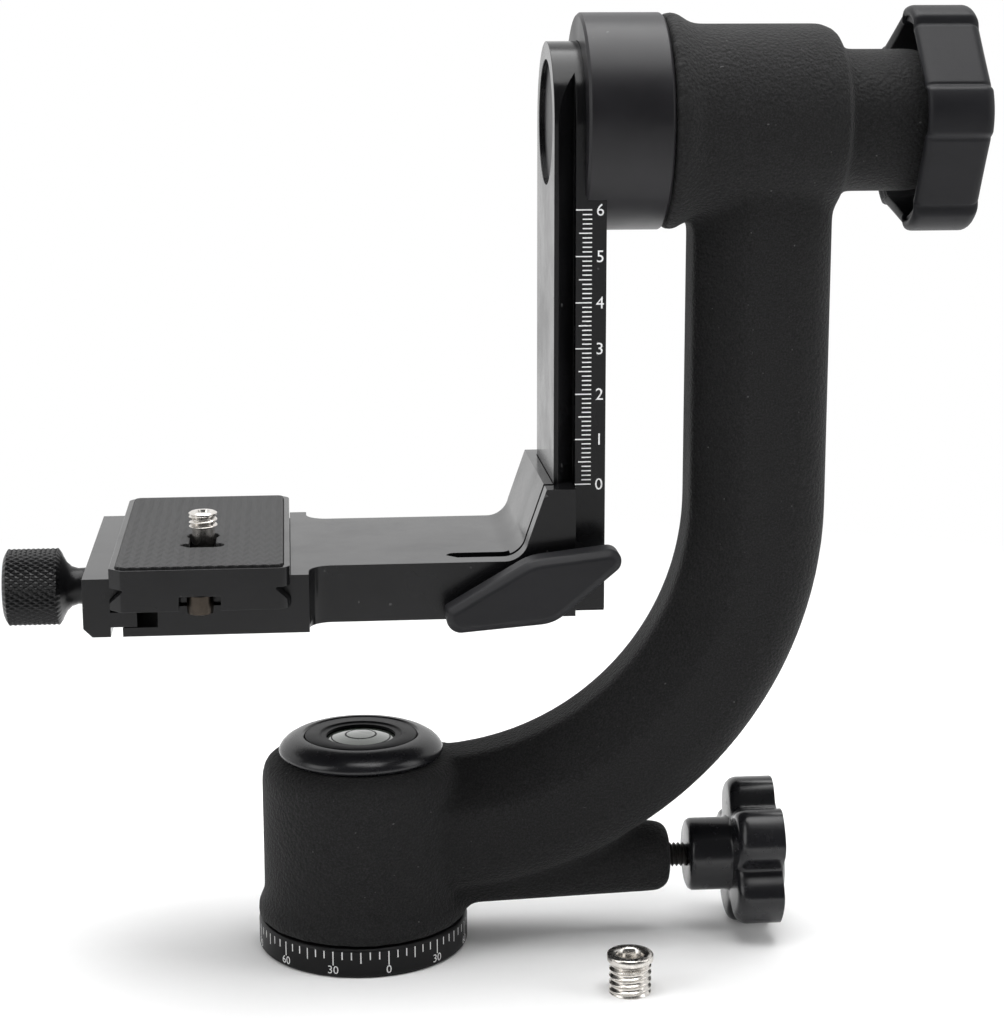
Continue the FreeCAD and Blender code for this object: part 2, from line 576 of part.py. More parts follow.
def make_yoke():
    """Foot, swept arm, boss, head and neck in one casting, with its bores."""
    body = new_body("yoke")
    foot = draw(new_sketch(body, "foot_outline", "XZ_Plane"), [
        ("0", FOOT_BOTTOM), (FOOT_FLARE, FOOT_BOTTOM), (FOOT_FLARE, FOOT_BOTTOM + " + foot_flare_height / 2"),
        (FOOT_RADIUS, FOOT_BOTTOM + " + foot_flare_height"), (FOOT_RADIUS, "foot_top - foot_round"),
        (FOOT_RADIUS + " - corner_share * foot_round", "foot_top - corner_share * foot_round"),
        (FOOT_RADIUS + " - foot_round", "foot_top"), ("0", "foot_top")])
    revolve(body, foot, "V_Axis")
    path = draw(new_sketch(body, "arm_path", "XZ_Plane"), [
        ("arm_x", "tilt_z"), ("arm_x", "bend_z"),
        ("arm_x - bend_radius", "bend_z - bend_radius", "bend_radius", -1)],
        closed=False)
    half, deep, round_off = "arm_wide / 2", "arm_deep / 2", "arm_corner"
    section = draw(new_sketch(body, "arm_section", "XY_Plane", {"z": "tilt_z"}), [
        ("arm_x - %s + arm_corner" % half, "-" + deep), ("arm_x + %s - arm_corner" % half, "-" + deep),
        ("arm_x + " + half, "-%s + arm_corner" % deep, round_off, 1),
        ("arm_x + " + half, deep + " - arm_corner"),
        ("arm_x + %s - arm_corner" % half, deep, round_off, 1), ("arm_x - %s + arm_corner" % half, deep),
        ("arm_x - " + half, deep + " - arm_corner", round_off, 1),
        ("arm_x - " + half, "-%s + arm_corner" % deep)])
    doc.recompute()
    arm = body.newObject("PartDesign::AdditivePipe", "arm")
    arm.Profile = section
    arm.Spine = (path, ["Edge1", "Edge2"])
    doc.recompute()
    boss = draw(new_sketch(body, "boss_outline", "XZ_Plane", {"y": "stud_z"}), [
        ("0", "0"), ("boss_end", "0"), ("boss_end", "boss_radius - boss_round"),
        ("boss_end - corner_share * boss_round", "boss_radius - corner_share * boss_round"),
        ("boss_end - boss_round", "boss_radius"), ("0", "boss_root_radius")])
    revolve(body, boss)
    head = draw(new_sketch(body, "head_outline", "XZ_Plane", {"y": "tilt_z"}), [
        (HEAD_LEFT, "0"), ("neck_end", "0"), ("neck_end", "neck_radius"), ("head_end", "neck_radius"),
        ("head_end", "head_radius - head_round"),
        ("head_end - corner_share * head_round", "head_radius - corner_share * head_round"),
        ("head_end - head_round", "head_radius"),
        (HEAD_LEFT + " + collar_wide + collar_taper", "head_radius"),
        (HEAD_LEFT + " + collar_wide", "collar_radius"), (HEAD_LEFT, "collar_radius")])
    revolve(body, head)
    washer_space = "pan_washer_radius + clear_gap"
    bore = draw(new_sketch(body, "pan_bore", "XZ_Plane"), [
        ("0", "0"), (washer_space, "0"), (washer_space, LOWER_SEAT), ("pan_bore_radius", LOWER_SEAT),
        ("pan_bore_radius", LOWER_SEAT + " + pan_bearing_height"),
        ("pan_shoulder_radius", LOWER_SEAT + " + pan_bearing_height"),
        ("pan_shoulder_radius", "upper_bearing_base"), ("pan_bore_radius", "upper_bearing_base"),
        ("pan_bore_radius", "foot_top + foot_round"), ("0", "foot_top + foot_round")])
    groove(body, bore, "V_Axis")
    stud = draw(new_sketch(body, "stud_bore", "XZ_Plane", {"y": "stud_z"}), [
        ("0", "0"), ("boss_end + boss_round", "0"), ("boss_end + boss_round", "stud_radius + running_fit"),
        ("spindle_radius + running_fit + shoe_length", "stud_radius + running_fit"),
        ("spindle_radius + running_fit + shoe_length", "shoe_radius + running_fit"),
        ("0", "shoe_radius + running_fit")])
    groove(body, stud)
    right = SECOND_BEARING + " + tilt_bearing_wide"
    seat = HEAD_SEAT_LEFT + " + tilt_bearing_wide"
    tilt = draw(new_sketch(body, "tilt_bore", "XZ_Plane", {"y": "tilt_z"}), [
        (HEAD_LEFT + " - collar_wide", "0"), ("neck_end + collar_wide", "0"),
        ("neck_end + collar_wide", "tilt_shoulder_radius"), (right, "tilt_shoulder_radius"),
        (right, "tilt_bore_radius"), (SECOND_BEARING, "tilt_bore_radius"),
        (SECOND_BEARING, "tilt_shoulder_radius"),
        (seat, "tilt_shoulder_radius"), (seat, "tilt_bore_radius"),
        (HEAD_LEFT + " - collar_wide", "tilt_bore_radius")])
    groove(body, tilt)


def make_bearings():
    """Ball bearings as plain rings, and the washers beside them."""
    for label, low in (("pan_bearing_lower", LOWER_SEAT), ("pan_bearing_upper", "upper_bearing_base")):
        ring_up(label, "spindle_radius + running_fit", "pan_bore_radius", low, low + " + pan_bearing_height")
    for label, left in (("tilt_bearing_inner", HEAD_SEAT_LEFT), ("tilt_bearing_outer", SECOND_BEARING)):
        ring_across(label, "axle_radius + running_fit", "tilt_bore_radius", left, "tilt_bearing_wide")
    ring_across("tilt_friction_washer", "axle_radius + running_fit", "tilt_bore_radius - running_fit",
                "drum_right + thrust_gap", "friction_washer_thick + clear_gap - thrust_gap")
    ring_across("tilt_thrust_washer", "axle_thread_radius + running_fit", "thrust_washer_radius",
                THRUST_LEFT, "thrust_washer_thick")


def make_level():
    """Level cap with its spigot, the disc in it and the vial."""
    rim = "cap_radius - cap_edge"
    turned_up("level_cap", [
        ("insert_radius - spigot_depth / 2", "foot_top - spigot_depth"),
        ("pan_bore_radius - running_fit", "foot_top - spigot_depth"),
        ("pan_bore_radius - running_fit", "foot_top"),
        (rim, "foot_top"), ("cap_radius", "foot_top + cap_edge"),
        ("cap_land + 2 * corner_share * (cap_radius - cap_land)",
         CAP_TOP + " - corner_share * (cap_height - cap_edge)"), ("cap_land", CAP_TOP),
             ("insert_radius + running_fit", CAP_TOP),
        ("insert_radius + running_fit", CAP_TOP + " - cap_edge"),
        ("insert_radius - spigot_depth / 2", CAP_TOP + " - cap_edge")])
    turned_up("level_insert", [
        ("window_radius + running_fit", "0"), ("insert_radius", "0"), ("insert_radius", "cap_edge"),
        ("window_radius + running_fit", "cap_edge")], {"z": CAP_TOP + " - cap_edge"})
    turned_up("level_vial", [
        ("0", "0"), ("window_radius", "0"), ("window_radius", "vial_height - cap_edge"),
        ("cap_edge", "vial_height"), ("0", "vial_height")], {"z": CAP_TOP + " - vial_height"})


def make_pan_knob():
    """Star knob with its hub, the stud and the brake shoe that the stud presses."""
    body = lobed_body("pan_knob", [
        ("hub_left", "0"), ("star_right", "0"), ("star_right", "star_valley / 4"),
        ("star_right - star_dome", "star_radius"), ("star_left", "star_radius"),
        ("star_left", "hub_radius"), ("hub_left + hub_chamfer", "hub_radius"),
        ("hub_left", "hub_radius - hub_chamfer")],
        ("0", "star_valley + star_gap_radius", "star_gap_radius"))
    near = value("star_radius") - value("star_round")
    round_edges(body, "star_edges", edges_along(body.Tip.Shape, near, near + near), "star_lobe_round")
    round_rims(body, "star_rim", "star_left", "(star_right - star_dome)", "star_radius", "star_round")
    hole = draw(new_sketch(body, "stud_hole", "XZ_Plane"), [
        ("hub_left - hub_chamfer", "0"), ("star_left", "0"), ("star_left", "stud_radius + running_fit"),
        ("hub_left - hub_chamfer", "stud_radius + running_fit")])
    groove(body, hole)
    turn_about_x(body, "stud_z", "star_turn")
    start = "(spindle_radius + running_fit + shoe_length + running_fit)"
    turned_across("pan_knob_stud", [("0", "0"), ("star_left - " + start, "0"),
                                    ("star_left - " + start, "stud_radius"), ("0", "stud_radius")],
                  {"x": start, "z": "stud_z"})
    body = new_body("pan_brake_shoe")
    revolve(body, draw(new_sketch(body, "shoe_outline", "XZ_Plane"), [
        ("0", "0"), ("spindle_radius + running_fit + shoe_length", "0"),
        ("spindle_radius + running_fit + shoe_length", "shoe_radius"), ("0", "shoe_radius")]))
    spindle = draw_circle(new_sketch(body, "shoe_hollow", "XY_Plane"), "0", "0",
                          "spindle_radius + running_fit")
    pocket(body, spindle, "4 * shoe_radius", midplane=True)
    place(body, {"z": "stud_z"})


def make_drum():
    """Tilt drum with the slot that the rail's end sits in, and the axle."""
    body = new_body("tilt_drum")
    revolve(body, draw(new_sketch(body, "drum_outline", "XZ_Plane", {"y": "tilt_z"}), [
        ("drum_left", "0"), ("drum_right", "0"), ("drum_right", "drum_radius - edge_chamfer"),
        ("drum_right - edge_chamfer", "drum_radius"), ("drum_left + edge_chamfer", "drum_radius"),
        ("drum_left", "drum_radius - edge_chamfer")]))
    low = "tilt_z - 2 * drum_radius"
    wide = "(rail_half + running_fit)"
    slot = draw(new_sketch(body, "rail_slot", "YZ_Plane", {"z": "drum_left"}), [
        ("-" + wide, low), (wide, low), (wide, "tilt_z"),
        ("0", "tilt_z + " + wide, wide, 1), ("-" + wide, "tilt_z", wide, 1)])
    pocket(body, slot, RAIL_RIGHT + " - drum_left", reverse=True)
    holes = new_sketch(body, "drum_holes", "YZ_Plane", {"z": "drum_left"})
    draw_circle(holes, "0", "tilt_z", "axle_radius + running_fit")
    for side in ("-", ""):
        draw_circle(holes, side + "drum_screw_reach", "tilt_z", "drum_screw_radius + running_fit")
    pocket(body, holes, reverse=True)
    bolt = "axle_bolt_radius + running_fit"
    end = "axle_end - " + RAIL_RIGHT
    depth = "axle_bolt_length"
    turned_across("tilt_axle", [
        ("0", bolt), (depth, bolt), (depth, "0"), (end, "0"), (end, "axle_thread_radius"),
        ("neck_end - " + RAIL_RIGHT, "axle_thread_radius"), ("neck_end - " + RAIL_RIGHT, "axle_radius"),
        ("0", "axle_radius")], {"x": RAIL_RIGHT, "z": "tilt_z"})


def make_tilt_knob():
    """Hollow lobed knob that is open towards the neck, with its brass insert."""
    end = "(grip_right - grip_end_wall)"
    top = "(grip_radius + grip_wall)"
    wide = "(grip_flat_half + grip_flank * (%s - grip_valley))" % top
    body = lobed_body("tilt_knob", [
        ("grip_left", "0"), ("grip_right", "0"), ("grip_right", "grip_valley / 4"),
        ("grip_right - grip_dome", "grip_radius"), ("grip_left", "grip_radius")], [
        ("-(grip_flat_half)", "grip_valley"), ("grip_flat_half", "grip_valley"), (wide, top),
        ("-" + wide, top)])
    middle = (value("grip_radius") + value("grip_valley / cos(22)")) / 2
    round_edges(body, "grip_creases", edges_along(body.Tip.Shape, middle - 3, middle), "grip_crease_round")
    round_edges(body, "grip_edges", edges_along(body.Tip.Shape, middle, middle + 3), "grip_lobe_round")
    round_rims(body, "grip_rim", "grip_left", "(grip_right - grip_dome)", "grip_radius", "grip_round")
    hollow = draw(new_sketch(body, "knob_hollow", "XZ_Plane"), [
        (KNOB_SEAT, "grip_hub_radius"), (end, "grip_hub_radius"),
        (end, "grip_valley - 2 * grip_wall"), (end + " - grip_wall", "grip_valley - grip_wall"),
        ("grip_left - grip_wall", "grip_valley - grip_wall"), ("grip_left - grip_wall", "0"),
        (KNOB_SEAT, "0")])
    groove(body, hollow)
    pit = draw_circle(new_sketch(body, "lobe_hollow", "YZ_Plane", {"z": "grip_left"}), "0",
                      "-(grip_radius - grip_wall - grip_pit_radius)", "grip_pit_radius")
    cut = pocket(body, pit, "grip_right - grip_left - grip_end_wall - grip_dome", reverse=True)
    copies_around(body, cut, pit, LOBES, "N_Axis")
    hole = draw(new_sketch(body, "knob_insert_seat", "XZ_Plane"), [
        (KNOB_SEAT + " - clear_gap", "0"), (end, "0"), (end, "knob_insert_radius"),
        (KNOB_SEAT + " - clear_gap", "knob_insert_radius")])
    groove(body, hole)
    turn_about_x(body, "tilt_z", "grip_turn")
    ring_across("tilt_knob_insert", "axle_thread_radius + running_fit", "knob_insert_radius", KNOB_SEAT,
                end + " - " + KNOB_SEAT)


def make_rail():
    """Upright dovetail rail with a full round top and a recess over the axle."""
    body = new_body("rail")
    side = draw(new_sketch(body, "rail_side", "YZ_Plane", {"z": "rail_left"}), [
        ("-(rail_half) + rail_edge_round", "rail_bottom"), ("rail_half - rail_edge_round", "rail_bottom"),
        ("rail_half", "rail_bottom + rail_edge_round", "rail_edge_round", 1), ("rail_half", "tilt_z"),
        ("0", "tilt_z + rail_half", "rail_half", 1), ("-(rail_half)", "tilt_z", "rail_half", 1),
        ("-(rail_half)", "rail_bottom + rail_edge_round")])
    pad(body, side, "rail_thick")
    for side_name, sign in (("front", "-"), ("back", "")):
        outer = sign + "(2 * rail_half)"
        dovetail = draw(new_sketch(body, "dovetail_" + side_name, "XY_Plane", {"z": "rail_bottom"}), [
            (GROOVE_LEFT, sign + "(rail_half)"), (GROOVE_RIGHT, sign + GROOVE_HALF),
            (GROOVE_RIGHT, outer), (GROOVE_LEFT, outer)])
        pocket(body, dovetail, reverse=True)
    recess = draw_circle(new_sketch(body, "rail_recess", "YZ_Plane", {"z": "rail_left"}),
                         "0", "tilt_z", "recess_radius")
    pocket(body, recess, "recess_depth", reverse=True)
    holes = new_sketch(body, "rail_holes", "YZ_Plane", {"z": "rail_left"})
    draw_circle(holes, "0", "tilt_z", "axle_bolt_radius + running_fit")
    for sign in ("-", ""):
        draw_circle(holes, sign + "drum_screw_reach", "tilt_z", "drum_screw_radius + running_fit")
    pocket(body, holes, reverse=True)
    floor = "(rail_left + recess_depth)"
    head = "(recess_depth - recess_cap_sink - recess_cap_thick)"
    turned_across("axle_bolt", [
        ("-(%s) + clear_gap" % head, "0"), ("-(%s) + clear_gap" % head, "axle_bolt_head_radius"),
        ("0", "axle_bolt_head_radius"), ("0", "axle_bolt_radius"),
        ("axle_bolt_length", "axle_bolt_radius"), ("axle_bolt_length", "0")], {"x": floor, "z": "tilt_z"})
    turned_across("axle_cap", [("0", "0"), ("recess_cap_thick", "0"), ("recess_cap_thick", "recess_radius"),
                               ("0", "recess_radius")], {"x": "rail_left + recess_cap_sink", "z": "tilt_z"})
    make_screw_pair("drum_screws", floor, "drum_screw_reach", "tilt_z", "drum_screw_radius",
                    "drum_screw_length")


def make_screw_pair(label, left, reach, height, radius, length):
    """Two screws along X beside the middle plane, as one node of two solids."""
    solids = []
    for number, sign in enumerate(("-", "")):
        shank = doc.addObject("Part::Cylinder", "%s_shank_%d" % (label, number))
        head = doc.addObject("Part::Cylinder", "%s_head_%d" % (label, number))
        head_left = "%s - %s" % (left, radius)
        for piece, size, long, start in (
                (shank, radius, length, left), (head, "drum_screw_head_radius", radius, head_left)):
            bind(piece, {"Radius": size, "Height": long, "Placement.Base.x": start,
                         "Placement.Base.y": sign + reach, "Placement.Base.z": height,
                         "Placement.Rotation.Angle": "90"})
            piece.Placement.Rotation = FreeCAD.Rotation(FreeCAD.Vector(0, 1, 0), 90)
        screw = doc.addObject("Part::Fuse", "%s_%d" % (label, number))
        screw.Base, screw.Tool = head, shank
        solids.append(screw)
    group = doc.addObject("Part::Compound", label)
    group.Links = solids
    group.Label = label


def make_bracket():
    """Platform, riser with its dovetail jaws, kerf, and the fixed half of the clamp."""
    body = new_body("bracket")
    slope = draw(new_sketch(body, "bracket_side", "XZ_Plane"), [
        ("clamp_right - clamp_fillet", "platform_bottom"), ("riser_right", "platform_bottom"),
        ("riser_right", "riser_top"), ("riser_top_left", "riser_top"), ("riser_foot_left", "riser_foot_z"),
        ("riser_foot_left - riser_fillet", "platform_top", "riser_fillet", -1),
        ("clamp_right - clamp_fillet", "platform_top")])
    pad(body, slope, "2 * platform_half", midplane=True)
    end = "clamp_right + clamp_fillet"
    edge = "platform_half + clamp_fillet"
    plan = draw(new_sketch(body, "clamp_plan", "XY_Plane", {"z": "platform_bottom"}), [
        ("clamp_left", "-(clamp_half)"), ("clamp_right", "-(clamp_half)"), ("clamp_right", "-(%s)" % edge),
        (end, "-(platform_half)", "clamp_fillet", -1), (end, "platform_half"),
        ("clamp_right", edge, "clamp_fillet", -1), ("clamp_right", "clamp_half"),
        ("clamp_left", "clamp_half")])
    pad(body, plan, "platform_top - platform_bottom")
    # channel of the clamp: ledge for the jaw's ribs, floor, and the fixed dovetail lip
    flank = "plate_x + plate_half + slide_gap"
    floor = "clamp_floor"
    low = PLATE_BOTTOM + " + dovetail_flange"
    high = PLATE_BOTTOM + " + dovetail_top - slide_gap"
    channel = draw(new_sketch(body, "clamp_channel", "XZ_Plane"), [
        ("clamp_left - clear_gap", "ledge_top"), ("ledge_right", "ledge_top"), ("ledge_right", floor),
        (flank, floor), (flank, low), (flank + " - dovetail_deep", low + " + dovetail_deep"),
        (flank + " - dovetail_deep", high), (flank, high), (flank, "platform_top + clear_gap"),
        ("clamp_left - clear_gap", "platform_top + clear_gap")])
    pocket(body, channel, "3 * clamp_half", midplane=True)
    # slot for the rail, as wide as the rail and open to the right
    gap = "slide_gap"
    half = "(rail_half + slide_gap)"
    inner = "(rail_half + slide_gap - (riser_right - rail_left - rail_flange))"
    way = draw(new_sketch(body, "rail_way", "XY_Plane", {"z": "platform_bottom"}), [
        ("rail_left - " + gap, "-" + half), (GROOVE_LEFT, "-" + half), ("riser_right", "-" + inner),
        ("riser_right + " + gap, "-" + inner), ("riser_right + " + gap, inner), ("riser_right", inner),
        (GROOVE_LEFT, half), ("rail_left - " + gap, half)])
    pocket(body, way, reverse=True)
    front = "-(kerf_front)"
    back = "-(kerf_front) + kerf_wide"
    relief = "-(kerf_front) + relief_wide"
    kerf = draw(new_sketch(body, "kerf_plan", "XY_Plane", {"z": "platform_bottom"}), [
        ("relief_left + relief_wide / 2", front), ("rail_left + clear_gap", front),
        ("rail_left + clear_gap", back),
        ("relief_right", back), ("relief_right", relief), ("relief_left + relief_wide / 2", relief),
        ("relief_left", "-(kerf_front) + relief_wide / 2", "relief_wide / 2", 1)])
    pocket(body, kerf, reverse=True)
    hole = draw_circle(new_sketch(body, "lever_hole", "XZ_Plane", {"z": "platform_half"}),
                       "lever_x", "lever_z", "lever_screw_radius + running_fit")
    pocket(body, hole, "platform_half - kerf_front + kerf_wide + lever_screw_reach")
    screw = draw(new_sketch(body, "clamp_screw_hole", "XZ_Plane", {"y": "clamp_screw_z"}), [
        ("clamp_left - clear_gap", "0"), ("clamp_screw_end + clear_gap", "0"),
        ("clamp_screw_end + clear_gap", "clamp_screw_radius + running_fit"),
        ("clamp_left - clear_gap", "clamp_screw_radius + running_fit")])
    groove(body, screw)


def make_lever():
    """Wing lever of the rail clamp with its boss and the screw that is moulded into it."""
    body = new_body("clamp_lever")
    left = "(lever_x - lever_tail)"
    corners = [
        ("lever_tail", left, "lever_z - lever_tail_low"),
        ("lever_belly", "lever_x + lever_belly", "lever_z - lever_belly_low"),
        ("lever_tip", "lever_x + lever_tip", "lever_z + lever_tip_high"),
        ("lever_back", "lever_x - lever_back", "lever_z + lever_back_high")]
    outline = [(across, up) for name, across, up in corners] + [(left, "lever_z - lever_tail_high")]
    pad(body, draw(new_sketch(body, "lever_outline", "XZ_Plane", {"z": LEVER_BACK}), outline), "lever_thick")
    for name, across_text, up_text in corners:
        across, up = value(across_text), value(up_text)
        names = [
            "Edge%d" % number for number, edge in enumerate(body.Tip.Shape.Edges, start=1)
            if math.hypot(edge.BoundBox.Center.x - across, edge.BoundBox.Center.z - up) < SAME_PLACE]
        round_edges(body, name + "_corner", names, name + "_round")
    front = -value(LEVER_FRONT)
    fronts = [
        "Edge%d" % number for number, edge in enumerate(body.Tip.Shape.Edges, start=1)
        if abs(edge.BoundBox.Center.y - front) < SAME_PLACE and edge.BoundBox.YLength < SAME_PLACE]
    bevel_edges(body, "lever_front_edges", fronts, "lever_bevel")
    boss = draw_circle(new_sketch(body, "lever_boss", "XZ_Plane", {"z": "platform_half + thrust_gap"}),
                       "lever_x", "lever_z", "lever_boss_radius")
    pad(body, boss, "lever_stand + lever_bevel")
    depth = "(lever_stand + lever_thick - lever_front_wall)"
    bore = draw_circle(new_sketch(body, "lever_bore", "XZ_Plane", {"z": "platform_half"}),
                       "lever_x", "lever_z", "lever_screw_radius + running_fit")
    pocket(body, bore, depth, reverse=True)
    stud = doc.addObject("Part::Cylinder", "lever_stud")
    stud.Placement.Rotation = FreeCAD.Rotation(FreeCAD.Vector(1, 0, 0), -90)
    reach = "%s + platform_half - kerf_front + kerf_wide + lever_screw_reach - clear_gap" % depth
    bind(stud, {"Radius": "lever_screw_radius", "Height": reach, "Placement.Base.x": "lever_x",
                "Placement.Base.y": "-(platform_half + %s)" % depth, "Placement.Base.z": "lever_z"})
    stud.Label = "lever_screw"


def make_jaw():
    """Moving jaw with its dovetail lip and two ribs, the clamp screw and its knob."""
    body = new_body("moving_jaw")
    low = PLATE_BOTTOM + " + dovetail_flange"
    high = PLATE_BOTTOM + " + dovetail_top - slide_gap"
    profile = draw(new_sketch(body, "jaw_profile", "XZ_Plane"), [
        (JAW_LEFT + " + jaw_chamfer", "platform_bottom"), (JAW_RIGHT, "platform_bottom"), (JAW_RIGHT, low),
        (JAW_RIGHT + " + dovetail_deep", low + " + dovetail_deep"), (JAW_RIGHT + " + dovetail_deep", high),
        (JAW_RIGHT, high), (JAW_RIGHT, "platform_top"), (JAW_LEFT, "platform_top"),
        (JAW_LEFT, "platform_bottom + jaw_chamfer")])
    pad(body, profile, "2 * clamp_half", midplane=True)
    rib_low = "ledge_top + slide_gap"
    tip = JAW_RIGHT + " + jaw_rib_length"
    for name, sign in (("front", "-"), ("back", "")):
        near, far = sign + "(jaw_rib_inner)", sign + "(clamp_half)"
        rib = draw(new_sketch(body, "rib_" + name, "XY_Plane", {"z": rib_low}), [
            (JAW_LEFT + " + jaw_thick / 2", near), (tip, near), (tip, far),
            (JAW_LEFT + " + jaw_thick / 2", far)])
        pad(body, rib, "jaw_rib_thick")
    hole = draw(new_sketch(body, "jaw_hole", "XZ_Plane", {"y": "clamp_screw_z"}), [
        (JAW_LEFT + " - clear_gap", "0"), (JAW_RIGHT + " + clear_gap", "0"),
        (JAW_RIGHT + " + clear_gap", "clamp_screw_radius + running_fit"),
        (JAW_LEFT + " - clear_gap", "clamp_screw_radius + running_fit")])
    groove(body, hole)
    left = "(%s - thrust_gap - clamp_neck_length - clamp_knob_length)" % JAW_LEFT
    turned_across("clamp_knob", [
        ("0", "0"), ("clamp_knob_length + clamp_neck_length", "0"),
        ("clamp_knob_length + clamp_neck_length", "clamp_neck_radius"),
        ("clamp_knob_length + clamp_neck_length / 3", "clamp_neck_radius + clamp_knob_swell / 3"),
        ("clamp_knob_length + clamp_knob_chamfer", "clamp_neck_radius + clamp_knob_swell"),
        ("clamp_knob_length", "clamp_knob_radius - clamp_knob_chamfer"),
        ("clamp_knob_length - clamp_knob_chamfer", "clamp_knob_radius"),
        ("clamp_knob_chamfer", "clamp_knob_radius"), ("0", "clamp_knob_radius - clamp_knob_chamfer")],
        {"x": left, "z": "clamp_screw_z"})
    start = "(%s - thrust_gap)" % JAW_LEFT
    length = "clamp_screw_end - " + start
    turned_across("clamp_screw", [("0", "0"), (length, "0"), (length, "clamp_screw_radius"),
                                  ("0", "clamp_screw_radius")], {"x": start, "z": "clamp_screw_z"})


def rounded_plan(body, name, height, half_x, half_y, corner):
    """A rounded rectangle about the plate's middle."""
    right, left = "plate_x + " + half_x, "plate_x - " + half_x
    return draw(new_sketch(body, name, "XY_Plane", {"z": height}), [
        ("%s + %s" % (left, corner), "-(%s)" % half_y), ("%s - %s" % (right, corner), "-(%s)" % half_y),
        (right, "-(%s) + %s" % (half_y, corner), corner, 1), (right, "%s - %s" % (half_y, corner)),
        ("%s - %s" % (right, corner), half_y, corner, 1), ("%s + %s" % (left, corner), half_y),
        (left, "%s - %s" % (half_y, corner), corner, 1), (left, "-(%s) + %s" % (half_y, corner))])


def cut_screw_way(body, name, height):
    """The slot that the camera screw slides along, from its place to the oblong hole."""
    left, right = "plate_x - screw_way_half", "plate_x + screw_way_half"
    way = draw(new_sketch(body, name, "XY_Plane", {"z": height}), [
        (left, "pad_slot_y"), (right, "pad_slot_y"), (right, "camera_screw_y"), (left, "camera_screw_y")])
    pocket(body, way, reverse=True)


